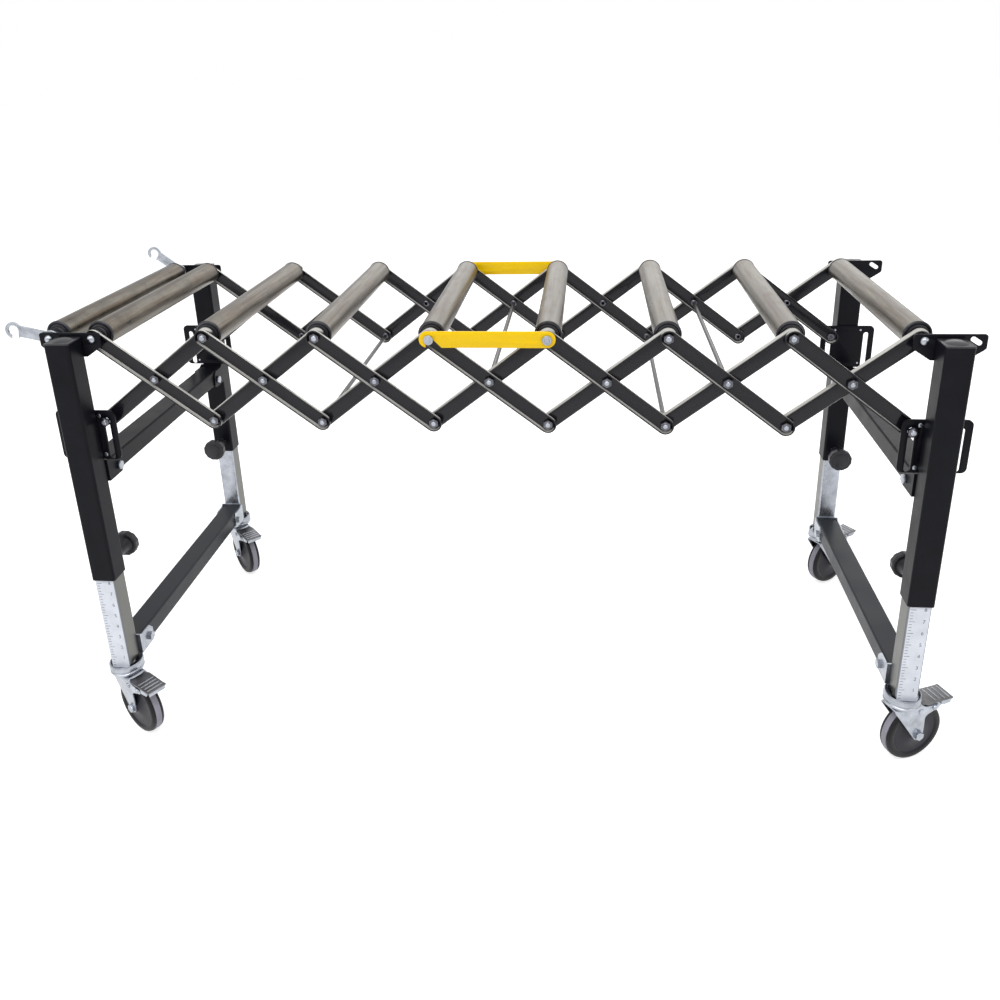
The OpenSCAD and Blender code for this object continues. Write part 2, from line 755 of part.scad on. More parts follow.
module hook(s, tilt) {
  color([0.82, 0.83, 0.85]) translate([top_x(0) - bolt_span, 0, axis_height]) on_side(s)
    rotate([0, tilt, 0]) slab(hook_in, hook_t) hook_profile();
}

// Lock plate about its pivot, pointing to -X, with a notch for the next axle's stud.
// The notch's near side leans along the way that the stud leaves as the row folds.
module lock_profile() {
  r = axle_r + slot_gap;
  far = [-roller_pitch, 0];
  side = r * [cos(lock_lean), sin(lock_lean)];
  way = (lock_w + side[1]) / cos(lock_lean) * [sin(lock_lean), -cos(lock_lean)];
  difference() {
    union() {
      translate([-roller_pitch / 2, 0]) stadium(roller_pitch, lock_w / 2);
      translate([far[0] - 2, 0]) circle(lock_w / 2);
    }
    circle(axle_r + fit_gap);
    translate(far) circle(r);
    translate(far) polygon([[-r, 0], [-r, -lock_w], side + way, side]);
  }
}

module lock(s) {
  color([0.98, 0.78, 0.05]) translate([top_x(s < 0 ? 4 : 3), 0, axis_height]) on_side(s)
    if (s < 0) slab(lock_in, plate_t) lock_profile();
    else mirror([1, 0, 0]) slab(lock_in, plate_t) lock_profile();
}

outer_legs(-1);  // left_outer_legs
top_brackets(-1);  // left_top_brackets
slot_brackets(-1);  // left_slot_brackets
upper_crossbar(-1);  // left_crossbar
leg_caps(-1);  // left_leg_caps
fasteners(-1);  // left_fasteners
left_axles();
outer_legs(1);  // right_outer_legs
top_brackets(1);  // right_top_brackets
slot_brackets(1);  // right_slot_brackets
upper_crossbar(1);  // right_crossbar
leg_caps(1);  // right_leg_caps
fasteners(1);  // right_fasteners
inner_legs(-1);  // left_inner_legs
foot_bar(-1);  // left_foot_bar
inner_legs(1);  // right_inner_legs
foot_bar(1);  // right_foot_bar
down_links(0);  // down_links_1
down_links(1);  // down_links_2
down_links(2);  // down_links_3
down_links(3);  // down_links_4
down_links(4);  // down_links_5
down_links(5);  // down_links_6
down_links(6);  // down_links_7
up_links(0);  // up_links_1
up_links(1);  // up_links_2
up_links(2);  // up_links_3
up_links(3);  // up_links_4
up_links(4);  // up_links_5
up_links(5);  // up_links_6
up_links(6);  // up_links_7
roller(top_x(0) - bolt_span);  // roller_1
roller(top_x(0));  // roller_2
roller(top_x(1));  // roller_3
roller(top_x(2));  // roller_4
roller(top_x(3));  // roller_5
roller(top_x(4));  // roller_6
roller(top_x(5));  // roller_7
roller(top_x(6));  // roller_8
roller(top_x(7));  // roller_9
knob(-1, -1);  // front_left_knob
knob(-1, 1);  // rear_left_knob
knob(1, -1);  // front_right_knob
knob(1, 1);  // rear_right_knob
fork(-1, -1, turn_front_left);  // front_left_fork
fork(-1, 1, turn_rear_left);  // rear_left_fork
fork(1, -1, turn_front_right);  // front_right_fork
fork(1, 1, turn_rear_right);  // rear_right_fork
wheel(-1, -1, turn_front_left);  // front_left_wheel
wheel(-1, 1, turn_rear_left);  // rear_left_wheel
wheel(1, -1, turn_front_right);  // front_right_wheel
wheel(1, 1, turn_rear_right);  // rear_right_wheel
pedal(-1, -1, turn_front_left);  // front_left_pedal
pedal(-1, 1, turn_rear_left);  // rear_left_pedal
pedal(1, -1, turn_front_right);  // front_right_pedal
pedal(1, 1, turn_rear_right);  // rear_right_pedal
hook(-1, front_hook_tilt);  // front_hook
hook(1, rear_hook_tilt);  // rear_hook
lock(-1);  // front_lock
lock(1);  // rear_lock
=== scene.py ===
import json
import math

import bmesh
import bpy
from bpy.props import FloatProperty, FloatVectorProperty, PointerProperty
from mathutils import Matrix, Vector

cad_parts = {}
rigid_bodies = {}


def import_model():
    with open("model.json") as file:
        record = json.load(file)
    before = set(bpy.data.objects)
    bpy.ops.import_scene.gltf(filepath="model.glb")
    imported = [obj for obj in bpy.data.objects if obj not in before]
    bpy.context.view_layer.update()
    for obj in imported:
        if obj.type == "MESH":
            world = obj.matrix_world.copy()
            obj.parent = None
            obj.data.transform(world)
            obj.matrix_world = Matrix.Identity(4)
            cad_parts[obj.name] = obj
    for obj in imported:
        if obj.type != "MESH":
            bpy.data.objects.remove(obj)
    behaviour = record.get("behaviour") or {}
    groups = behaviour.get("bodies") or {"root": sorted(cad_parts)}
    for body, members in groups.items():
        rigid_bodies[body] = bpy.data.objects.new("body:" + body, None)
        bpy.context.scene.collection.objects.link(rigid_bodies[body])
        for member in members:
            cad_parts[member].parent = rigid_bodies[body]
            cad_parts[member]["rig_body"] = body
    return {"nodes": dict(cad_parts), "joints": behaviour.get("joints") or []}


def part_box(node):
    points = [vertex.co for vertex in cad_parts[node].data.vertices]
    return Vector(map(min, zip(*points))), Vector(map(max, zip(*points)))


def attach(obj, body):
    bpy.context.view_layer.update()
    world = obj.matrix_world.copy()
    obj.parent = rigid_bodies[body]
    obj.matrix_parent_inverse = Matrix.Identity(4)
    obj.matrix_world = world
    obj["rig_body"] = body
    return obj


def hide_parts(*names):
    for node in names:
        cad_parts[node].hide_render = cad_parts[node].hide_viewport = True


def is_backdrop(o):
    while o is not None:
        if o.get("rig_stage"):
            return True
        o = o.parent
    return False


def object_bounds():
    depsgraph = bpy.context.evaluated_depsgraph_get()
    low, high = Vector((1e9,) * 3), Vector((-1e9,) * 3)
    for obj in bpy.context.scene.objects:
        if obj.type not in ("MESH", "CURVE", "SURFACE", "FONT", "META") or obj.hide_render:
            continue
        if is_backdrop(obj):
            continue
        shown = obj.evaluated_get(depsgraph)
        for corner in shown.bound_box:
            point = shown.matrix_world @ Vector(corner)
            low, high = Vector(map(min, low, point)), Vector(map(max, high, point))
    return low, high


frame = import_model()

bl_info = {
    "name": "Flexible roller conveyor",
    "version": (1, 0, 0),
    "blender": (4, 5, 0),
    "location": "View3D > Sidebar > Conveyor",
    "description": "Models the rollers, links, stands and casters of a flexible roller conveyor",
    "category": "Add Mesh",
}

ENDS = ("left", "right")
SIDES = ("front", "rear")
CORNERS = ("front_left", "rear_left", "front_right", "rear_right")
PLACES = {j["name"]: Vector(j.get("pos_m", (0, 0, 0))) for j in frame["joints"]}
AXES = {j["name"]: Vector(j["axis"]) for j in frame["joints"]}

ROW_Y = PLACES["roller_2_spin"].y
AXLE_Z = PLACES["roller_2_spin"].z
LOW_Z = PLACES["up_2_at_low_1"].z
TOPS = [PLACES[f"roller_{k}_spin"].x for k in range(2, 10)]
CELLS = len(TOPS) - 1
PITCH = TOPS[1] - TOPS[0]
LINK_REACH = math.hypot(PITCH, AXLE_Z - LOW_Z)
LINK_TILT = math.atan2(AXLE_Z - LOW_Z, PITCH)
X_AXIS = Vector((1, 0, 0))
Y_AXIS = Vector((0, 1, 0))
Z_AXIS = Vector((0, 0, 1))


def far_y(node):
    """How far a node reaches from the row's centre plane."""
    low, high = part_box(node)
    return max(high.y - ROW_Y, ROW_Y - low.y)


PLATE_OUT = far_y("left_top_brackets")


# Sizes and colours

# Steps round a turned piece
SMALL_STEPS, LARGE_STEPS = 24, 64
# Cells whose middle or lower pivot holds a cross rod, and whose top axle holds a lock plate
MIDDLE_RODS, LOW_RODS, LOCKED = (2, 4, 6), (2, 5), (3, 4)
# How bright the floor and the air look to the camera, and how bright the air lights the piece
FLOOR_GLOW, AIR_GLOW, AIR_LIGHT = 0.62, 1.0, 0.42
# Name, place, width, height and power of each lamp
LAMPS = (("key_light", (-0.3, -1.7, 2.9), 2.6, 0.9, 38),
         ("left_light", (-2.6, -1.8, 2.0), 2.0, 2.0, 14),
         ("right_light", (2.6, -1.8, 2.0), 2.0, 2.0, 10),
         ("top_light", (0.2, 0.4, 3.4), 3.0, 3.0, 20),
         ("rear_light", (0.5, 2.9, 1.75), 3.4, 1.5, 18))


def length(name, text, value):
    return FloatProperty(name=name, description=text, default=value, unit="LENGTH", precision=5)


def tint(name, text, value, most=1):
    return FloatVectorProperty(name=name, description=text, default=value, subtype="COLOR",
                               size=3, min=0, max=most)


class RollerSizes(bpy.types.PropertyGroup):
    tube_radius: length("Tube radius", "Outside radius of a roller tube", 0.019)
    tube_half: length("Half length", "Half the length of a roller tube", 0.2)
    tube_wall: length("Tube wall", "Wall of a roller tube at its ends", 0.0016)
    cap_radius: length("Cap radius", "Radius of the end cap's rim", 0.01975)
    cap_rim: length("Cap rim", "Thickness of the end cap's rim", 0.003)
    hub_radius: length("Hub radius", "Radius of the raised hub", 0.0125)
    hub_rise: length("Hub rise", "Height of the raised hub", 0.0032)
    axle_radius: length("Axle radius", "Radius of the axles", 0.004)


class LinkSizes(bpy.types.PropertyGroup):
    width: length("Width", "Width of a link", 0.0245)
    sheet: length("Sheet", "Sheet thickness of a link", 0.002)
    depth: length("Depth", "Depth of a link's turned edge", 0.008)
    bend: length("Bend", "Outside radius of a link's turned edge", 0.0042)
    inner_face: length("Inner web", "Inner link's web from the centre plane", 0.2177)
    web_gap: length("Web gap", "Gap between the webs of two crossing links", 0.0005)
    face_gap: length("Face gap", "Gap between faces that turn on each other", 0.0003)
    rivet_radius: length("Rivet radius", "Radius of the rivets and cross rods", 0.0035)
    nut_flats: length("Nut", "Width across the flats of a nut", 0.013)
    nut_height: length("Nut height", "Height of a nut", 0.005)
    head: length("Head", "Thickness of the head of a rivet or pin", 0.003)
    thread: length("Thread", "How far a thread stands out of its nut", 0.001)
    washer: length("Washer", "Thickness of an end pin's washer", 0.0015)
    washer_rim: length("Washer rim", "How far a washer reaches past its axle", 0.0025)
    sleeve_wall: length("Sleeve wall", "Wall of the sleeves beside the rollers", 0.003)
    bracket: length("Bracket", "Sheet thickness of the slot brackets", 0.003)
    lock_gap: length("Lock gap", "Gap between a link's turned edge and a lock plate", 0.0005)
    lock_sheet: length("Lock plate", "Thickness of a lock plate", 0.003)
    lock_end: length("Lock end", "How far an axle reaches past a lock plate", 0.0045)
    stud: length("Stud", "Thickness of the stud outside a lock plate", 0.0032)


class StandSizes(bpy.types.PropertyGroup):
    inner_width: length("Inner leg width", "Width of an inner leg tube", 0.033)
    knob_radius: length("Knob radius", "Radius of a clamp knob", 0.021)
    knob_reach: length("Knob reach", "How far a knob stands off its leg", 0.051)
    knob_head: length("Knob head", "Thickness of a knob's head", 0.0135)
    knob_dip: length("Knob dip", "Depth of the dips between a knob's lobes", 0.0007)
    tick_step: length("Tick step", "Spacing of the marks on the inner legs", 0.005)
    scale_inset: length("Scale inset", "From a leg's ends to its scale", 0.012)
    scale_side: length("Scale side", "From a leg's side faces to its scale", 0.002)
    long_tick: length("Long tick", "Length of a numbered mark", 0.008)
    short_tick: length("Short tick", "Length of a mark without a number", 0.0045)
    figure_height: length("Figure height", "Height of the numbers on the scale", 0.0085)


class CasterSizes(bpy.types.PropertyGroup):
    wheel_radius: length("Wheel radius", "Radius of a wheel", 0.05)
    wheel_width: length("Wheel width", "Width of a wheel", 0.022)
    head_radius: length("Head radius", "Radius of the swivel head", 0.027)
    head_top: length("Head top", "Height of the swivel head", 0.123)
    sheet: length("Sheet", "Sheet thickness of the fork", 0.0025)
    bend: length("Bend", "Outside radius of the fork's bends", 0.0045)
    crown_drop: length("Crown drop", "From the swivel head's top to the fork's top", 0.017)
    trail: length("Trail", "From the swivel axis to the wheel's axle", 0.025)
    cheek_out: length("Cheek", "Outside of a cheek from the wheel's middle", 0.017)
    bolt_radius: length("Bolt radius", "Radius of the axle bolt", 0.004)
    bolt_flats: length("Bolt", "Width across the flats of the axle bolt", 0.013)
    bolt_height: length("Bolt height", "Height of the axle bolt's head", 0.005)
    play: length("Play", "Gap between parts that turn on each other", 0.0003)
    pedal_reach: length("Pedal reach", "From the swivel axis to the pedal's tip", 0.084)
    pedal_width: length("Pedal width", "Width of a brake pedal", 0.034)


class Finishes(bpy.types.PropertyGroup):
    paint: tint("Paint", "Powder coat of the stands", (0.0062, 0.0065, 0.0095))
    foot_paint: tint("Foot paint", "Rubbed paint of the foot bars", (0.014, 0.0165, 0.022))
    link_paint: tint("Link paint", "Paint of the links", (0.0075, 0.0075, 0.011))
    # The next colour is a painted highlight, mixed into the links where their turned edges face up
    painted_edge_highlight: tint("Painted edge highlight", "Painted highlight on the links' up-facing edges", (0.56, 0.545, 0.515))
    roller_steel: tint("Roller steel", "Steel of the roller tubes", (0.158, 0.145, 0.12))
    pedal: tint("Pedal", "Worn zinc of the pedals and cross rods", (0.15, 0.148, 0.15))
    zinc: tint("Zinc", "Zinc plating", (0.36, 0.38, 0.42))
    tube: tint("Tube", "Zinc of the inner legs", (0.155, 0.155, 0.147))
    # The next factor paints a sheen: it brightens and blues the inner legs' front and rear faces
    painted_face_sheen: tint("Rubbed", "How much the painted sheen brightens the inner legs' front and rear faces", (1.45, 1.55, 1.95), most=2)
    scale_plate: tint("Scale", "Ground of the scales on the inner legs", (0.78, 0.82, 0.9))
    ink: tint("Ink", "Marks and numbers of the scales", (0.09, 0.1, 0.13))
    dark_steel: tint("Dark steel", "Nuts and rivet heads", (0.12, 0.12, 0.14))
    wheel_core: tint("Wheel core", "Plastic of the wheels", (0.013, 0.013, 0.02))
    shoulder: tint("Shoulder", "Rubber beside the tread", (0.006, 0.006, 0.007))
    plastic: tint("Plastic", "Caps and knobs", (0.014, 0.014, 0.018))
    rubber: tint("Rubber", "Tread of the wheels", (0.3, 0.295, 0.35))
    lock: tint("Lock", "Paint of the lock plates", (1.0, 0.63, 0.002))
    floor: tint("Floor", "Studio floor", (0.93, 0.93, 0.93))


# Modelling

def sizes(name):
    return getattr(bpy.context.scene, name)


def clear_selection():
    if bpy.context.mode != "OBJECT":
        bpy.ops.object.mode_set(mode="OBJECT")
    bpy.ops.object.select_all(action="DESELECT")


def pick(piece):
    clear_selection()
    piece.select_set(True)
    bpy.context.view_layer.objects.active = piece
    return piece


def settle(piece, name, *finishes, place=None):
    """Names a piece, gives it its finishes and puts its place in its mesh."""
    pick(piece)
    if place is not None:
        put(piece, place)
    bpy.ops.object.transform_apply(location=True, rotation=True, scale=True)
    piece.name = name
    piece.data.name = name
    if finishes:
        piece.data.materials.clear()
        for finish in finishes:
            piece.data.materials.append(finish)
    return piece


def trace(points, closed=True):
    """Extrudes one vertex along points in the XZ plane."""
    clear_selection()
    bpy.ops.mesh.primitive_plane_add(size=0.01, location=(0, 0, 0))
    bpy.ops.object.mode_set(mode="EDIT")
    bpy.ops.mesh.select_all(action="SELECT")
    bpy.ops.mesh.merge(type="CENTER")
    place = Vector((points[0][0], 0, points[0][1]))
    bpy.ops.transform.translate(value=place)
    for x, z in points[1:]:
        step = Vector((x, 0, z)) - place
        bpy.ops.mesh.extrude_vertices_move(TRANSFORM_OT_translate={"value": step})
        place += step
    bpy.ops.mesh.select_all(action="SELECT")
    if closed:
        bpy.ops.mesh.edge_face_add()
    return bpy.context.active_object


def tidy_normals(gap=1e-6):
    bpy.ops.mesh.select_all(action="SELECT")
    bpy.ops.mesh.remove_doubles(threshold=gap)
    bpy.ops.mesh.normals_make_consistent(inside=False)


def smooth(piece, angle=35):
    pick(piece)
    bpy.ops.object.shade_smooth_by_angle(angle=math.radians(angle))
    return piece


def finish_with(piece, kind, **values):
    pick(piece)
    modifier = piece.modifiers.new(kind.title(), kind)
    for key, value in values.items():
        setattr(modifier, key, value)
    bpy.ops.object.modifier_apply(modifier=modifier.name)
    return piece


def round_edges(piece, width, segments=2, angle=30):
    return finish_with(piece, "BEVEL", width=width, segments=segments, limit_method="ANGLE",
                       angle_limit=math.radians(angle))


def turned(profile, steps=48):
    """Spins a closed profile of (radius, height) pairs round the Z axis."""
    piece = trace(profile)
    bpy.ops.mesh.select_all(action="SELECT")
    bpy.ops.mesh.spin(steps=steps, angle=2 * math.pi, center=(0, 0, 0), axis=(0, 0, 1))
    bpy.ops.mesh.select_all(action="SELECT")
    bpy.ops.mesh.remove_doubles(threshold=1e-6)
    drop_inner_faces(piece)
    tidy_normals()
    bpy.ops.object.mode_set(mode="OBJECT")
    return smooth(piece)


def drop_inner_faces(piece):
    """Removes the profile's own faces that a full spin leaves inside."""
    bpy.ops.mesh.select_all(action="DESELECT")
    shape = bmesh.from_edit_mesh(piece.data)
    for face in shape.faces:
        if abs(face.normal.y) > 0.999 and abs(face.calc_center_median().y) < 1e-6:
            face.select = True
    bmesh.update_edit_mesh(piece.data)
    bpy.ops.mesh.delete(type="FACE")


def drawn_out(points, depth, tray=False):
    """An outline in the XZ plane drawn out from y = 0 towards +Y; a tray is left open there."""
    piece = trace(points)
    bpy.ops.mesh.extrude_region_move(TRANSFORM_OT_translate={"value": (0, depth, 0)})
    if tray:
        bpy.ops.mesh.delete(type="ONLY_FACE")
    tidy_normals()
    bpy.ops.object.mode_set(mode="OBJECT")
    return piece


def plate(points, thickness, edge=0.0004):
    """Plate of an outline in the XZ plane, from y = 0 towards +Y, with its edges eased."""
    piece = drawn_out(points, thickness)
    if edge:
        round_edges(piece, edge)
    return smooth(piece)


def beside(x, z, *steps):
    """Points given in millimetres from a corner."""
    return [(x + a / 1000, z + b / 1000) for a, b in steps]


def arc(cx, cz, r, a0, a1, steps):
    return [(cx + r * math.cos(math.radians(a0 + (a1 - a0) * k / steps)),
             cz + r * math.sin(math.radians(a0 + (a1 - a0) * k / steps))) for k in range(steps + 1)]


def stadium(reach, r, steps=10):
    return arc(reach / 2, 0, r, -90, 90, steps) + arc(-reach / 2, 0, r, 90, 270, steps)


def again(piece, matrix, name=None):
    """A copy of a piece with its own mesh, put elsewhere."""
    other = piece.copy()
    other.data = piece.data.copy()
    bpy.context.scene.collection.objects.link(other)
    put(other, matrix)
    if name:
        other.name = name
        other.data.name = name
    return other


def put(piece, matrix):
    """Moves a piece's mesh, and turns its faces back where a mirror turned them inside out."""
    piece.data.transform(matrix)
    if matrix.determinant() < 0:
        piece.data.flip_normals()
    return piece


def joined(pieces, name):
    clear_selection()
    for piece in pieces:
        piece.select_set(True)
    bpy.context.view_layer.objects.active = pieces[0]
    bpy.ops.object.join()
    pieces[0].name = name
    pieces[0].data.name = name
    return pieces[0]


def move(x, y, z):
    return Matrix.Translation((x, y, z))


def turn(angle, axis):
    return Matrix.Rotation(math.radians(angle), 4, axis)


# Turns a shape made along +Z to lie along +Y
LAY_Y = turn(-90, "X")
MIRROR_Y = Matrix.Scale(-1, 4, Y_AXIS)
AS_IS = Matrix.Identity(4)


def on_side(side):
    """Draws with +Y pointing away from the row, on the front or rear side."""
    base = move(0, ROW_Y, 0)
    return base @ MIRROR_Y if side == "front" else base


def softened(node, width, name, *finishes, angle=30):
    """A CAD node's shape with its edges eased."""
    source = frame["nodes"][node]
    piece = bpy.data.objects.new(name, source.data.copy())
    bpy.context.scene.collection.objects.link(piece)
    pick(piece)
    bpy.ops.object.mode_set(mode="EDIT")
    bpy.ops.mesh.select_all(action="SELECT")
    bpy.ops.mesh.remove_doubles(threshold=2e-6)
    bpy.ops.mesh.dissolve_limited(angle_limit=math.radians(1.0))
    bpy.ops.object.mode_set(mode="OBJECT")
    round_edges(piece, width, angle=angle)
    smooth(piece)
    settle(piece, name, *finishes)
    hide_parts(node)
    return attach(piece, source["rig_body"])


# Materials

def sockets(group, kind, *names):
    for name, kind_of_value in names:
        group.interface.new_socket(name=name, in_out=kind, socket_type=kind_of_value)


def new_group(name, inputs, outputs):
    group = bpy.data.node_groups.new(name, "ShaderNodeTree")
    sockets(group, "INPUT", *inputs)
    sockets(group, "OUTPUT", *outputs)
    first = group.nodes.new("NodeGroupInput")
    last = group.nodes.new("NodeGroupOutput")
    return group, first, last


def add_node(tree, kind, **values):
    node = tree.nodes.new(kind)
    for key, value in values.items():
        setattr(node, key, value)
    return node


def feed(tree, node, *values):
    """Sets a node's sockets to numbers or colours, or links them to other nodes' outputs."""
    for slot, value in values:
        if isinstance(value, (int, float, tuple)):
            node.inputs[slot].default_value = value
        else:
            tree.links.new(value, node.inputs[slot])
    return node


def math_node(tree, operation, a, b):
    return feed(tree, add_node(tree, "ShaderNodeMath", operation=operation), (0, a), (1, b)).outputs[0]


def spread_node(tree, value, low, high, to_low, to_high):
    """Carries a value from one range to another, held at both ends."""
    return feed(tree, add_node(tree, "ShaderNodeMapRange"), ("Value", value), ("From Min", low),
                ("From Max", high), ("To Min", to_low), ("To Max", to_high)).outputs[0]


def noise_node(tree, vector, scale, detail=3.0, roughness=0.55):
    return feed(tree, add_node(tree, "ShaderNodeTexNoise"), ("Vector", vector), ("Scale", scale),
                ("Detail", detail), ("Roughness", roughness)).outputs["Fac"]


def mix_node(tree, factor, plain, other, blend="MIX"):
    """Blends one colour into another; the colours are sockets 6 and 7 of the node."""
    node = add_node(tree, "ShaderNodeMix", data_type="RGBA", blend_type=blend)
    return feed(tree, node, (0, factor), (6, plain), (7, other)).outputs[2]


def mottle_group():
    """Soft blotches: a colour that wanders between two tints, a roughness that follows, a height."""
    group, first, last = new_group(
        "Mottle",
        [("Dark", "NodeSocketColor"), ("Light", "NodeSocketColor"), ("Scale", "NodeSocketFloat"),
         ("Smooth", "NodeSocketFloat"), ("Rough", "NodeSocketFloat")],
        [("Color", "NodeSocketColor"), ("Roughness", "NodeSocketFloat"), ("Height", "NodeSocketFloat")])
    place = add_node(group, "ShaderNodeTexCoord").outputs["Object"]
    broad = noise_node(group, place, first.outputs["Scale"], 4.0)
    fine = noise_node(group, place, math_node(group, "MULTIPLY", first.outputs["Scale"], 14.0), 2.0)
    both = math_node(group, "ADD", math_node(group, "MULTIPLY", broad, 0.7),
                     math_node(group, "MULTIPLY", fine, 0.3))
    mask = spread_node(group, both, 0.32, 0.68, 0.0, 1.0)
    feed(group, last,
         ("Color", mix_node(group, mask, first.outputs["Dark"], first.outputs["Light"])),
         ("Roughness", spread_node(group, mask, 0.0, 1.0, first.outputs["Smooth"], first.outputs["Rough"])),
         ("Height", fine))
    return group


def grain_group():
    """Fine lines drawn out along one axis, as brushing, drawing or grinding leaves."""
    group, first, last = new_group(
        "Drawn grain",
        [("Stretch", "NodeSocketVector")],
        [("Lines", "NodeSocketFloat"), ("Height", "NodeSocketFloat")])
    place = add_node(group, "ShaderNodeTexCoord").outputs["Object"]
    scaled = add_node(group, "ShaderNodeVectorMath", operation="MULTIPLY")
    feed(group, scaled, (0, place), (1, first.outputs["Stretch"]))
    lines = noise_node(group, scaled.outputs[0], 1.0, 5.0, 0.7)
    feed(group, last, ("Lines", spread_node(group, lines, 0.3, 0.7, 0.0, 1.0)), ("Height", lines))
    return group


def shared(name, maker):
    return bpy.data.node_groups.get(name) or maker()


def place_group(tree, group, **values):
    node = add_node(tree, "ShaderNodeGroup")
    node.node_tree = group
    for key, value in values.items():
        socket = node.inputs[key.replace("_", " ")]
        socket.default_value = (*value, 1.0) if socket.type == "RGBA" and len(value) == 3 else value
    return node


def shade(color, factor):
    return tuple(min(1.0, c * factor) for c in color)


def finish(name):
    """Marks the maker of a finish: the material is built the first time and found by its name after that."""
    def mark(maker):
        return lambda: bpy.data.materials.get(name) or maker(name, sizes("conveyor_finishes"))
    return mark


def base_material(name, **constants):
    material = bpy.data.materials.new(name)
    material.use_nodes = True
    shader = material.node_tree.nodes["Principled BSDF"]
    for key, value in constants.items():
        shader.inputs[key.replace("_", " ")].default_value = value
    return material, material.node_tree, shader


def surface(tree, shader, color, roughness, height, relief):
    """Links a finish's colour and roughness, and its height as a bump of a fifth of a millimetre."""
    bump = add_node(tree, "ShaderNodeBump")
    feed(tree, bump, ("Strength", relief), ("Distance", 0.0002), ("Height", height))
    feed(tree, shader, ("Base Color", color), ("Roughness", roughness), ("Normal", bump.outputs[0]))


def blotches(tree, color, darker, lighter, scale, smooth_at, rough_at):
    return place_group(tree, shared("Mottle", mottle_group), Dark=shade(color, 1 - darker),
                       Light=shade(color, 1 + lighter), Scale=scale, Smooth=smooth_at, Rough=rough_at)


def mottled(name, color, spread, scale, smooth_at, rough_at, relief, **constants):
    """A finish whose colour and gloss wander softly, with a fine relief."""
    material, tree, shader = base_material(name, **constants)
    mottle = blotches(tree, color, spread, spread, scale, smooth_at, rough_at).outputs
    surface(tree, shader, mottle["Color"], mottle["Roughness"], mottle["Height"], relief)
    return material


def drawn_metal(name, color, stretch, dark, smooth_at, rough_at, relief, scale=40.0,
                line_color=(0.45, 0.43, 0.4), **constants):
    """Bare metal with lines drawn along one axis over soft blotches."""
    material, tree, shader = base_material(name, **{"Metallic": 1.0, **constants})
    mottle = blotches(tree, color, dark / 2, dark / 4, scale, smooth_at, rough_at).outputs
    grain = place_group(tree, shared("Drawn grain", grain_group), Stretch=stretch).outputs
    lined = mix_node(tree, spread_node(tree, grain["Lines"], 0.22, 0.78, dark, 0.0), mottle["Color"],
                     (*line_color, 1), "MULTIPLY")
    surface(tree, shader, lined, mottle["Roughness"], grain["Height"], relief)
    return material


def tint_by_normal(material, axis, start, full, color, blend):
    """Blends a colour into the base where the surface faces along an axis of its own piece; the script uses
    it to paint a highlight and a sheen by facing.
    """
    tree = material.node_tree
    base = tree.nodes["Principled BSDF"].inputs["Base Color"]
    apart = add_node(tree, "ShaderNodeSeparateXYZ")
    tree.links.new(add_node(tree, "ShaderNodeTexCoord").outputs["Normal"], apart.inputs[0])
    facing = spread_node(tree, apart.outputs[axis], start, full, 0.0, 1.0)
    tree.links.new(mix_node(tree, facing, base.links[0].from_socket, (*color, 1), blend), base)
    return material


@finish("Powder coat")
def powder_coat(name, look):
    return mottled(name, look.paint, 0.3, 30.0, 0.3, 0.42, 0.12, Specular_IOR_Level=0.1)


@finish("Foot paint")
def foot_paint(name, look):
    return mottled(name, look.foot_paint, 0.2, 18.0, 0.3, 0.44, 0.12, Specular_IOR_Level=0.2)


@finish("Link enamel")
def link_enamel(name, look):
    """Enamel with a painted highlight: pale where a link's turned edges face up."""
    enamel = mottled(name, look.link_paint, 0.3, 45.0, 0.2, 0.34, 0.06, Specular_IOR_Level=0.14,
                     Coat_Weight=0.3, Coat_Roughness=0.1)
    # Painted highlight: the pale colour is mixed in where the surface's normal points up
    return tint_by_normal(enamel, "Z", 0.42, 0.66, look.painted_edge_highlight, "MIX")


@finish("Roller steel")
def roller_steel(name, look):
    """Rubbed steel tube with warm streaks along its length."""
    return drawn_metal(name, look.roller_steel, (130, 6, 130), 0.95, 0.26, 0.42, 0.14, scale=30.0,
                       line_color=(0.56, 0.45, 0.37), Metallic=0.85)


@finish("Zinc plate")
def zinc_plate(name, look):
    return mottled(name, look.zinc, 0.3, 60.0, 0.2, 0.36, 0.1, Metallic=1.0)


@finish("Worn zinc")
def worn_zinc(name, look):
    return mottled(name, look.pedal, 0.3, 70.0, 0.3, 0.45, 0.12, Metallic=0.9)


@finish("Zinc tube")
def zinc_tube(name, look):
    """Drawn tube with a painted sheen: its front and rear faces are brighter and bluer than its sides."""
    tube = drawn_metal(name, look.tube, (900, 900, 14), 0.22, 0.28, 0.42, 0.1)
    # Painted sheen: faces towards +Y and -Y are multiplied brighter and bluer
    for facing in (1, -1):
        tint_by_normal(tube, "Y", 0.5 * facing, 0.9 * facing, look.painted_face_sheen, "MULTIPLY")
    return tube


@finish("Scale plate")
def scale_plate(name, look):
    return mottled(name, look.scale_plate, 0.1, 40.0, 0.3, 0.45, 0.05)


@finish("Scale ink")
def scale_ink(name, look):
    return mottled(name, look.ink, 0.2, 200.0, 0.45, 0.6, 0.1)


@finish("Dark steel")
def dark_steel(name, look):
    return mottled(name, look.dark_steel, 0.25, 90.0, 0.2, 0.36, 0.1, Metallic=1.0)


@finish("Cap plastic")
def cap_plastic(name, look):
    return mottled(name, look.plastic, 0.25, 90.0, 0.3, 0.45, 0.15)


@finish("Knob plastic")
def knob_plastic(name, look):
    return mottled(name, shade(look.plastic, 1.1), 0.2, 120.0, 0.28, 0.42, 0.16, Specular_IOR_Level=0.35)


@finish("Wheel core")
def wheel_core(name, look):
    return mottled(name, look.wheel_core, 0.35, 70.0, 0.34, 0.5, 0.14, Specular_IOR_Level=0.22)


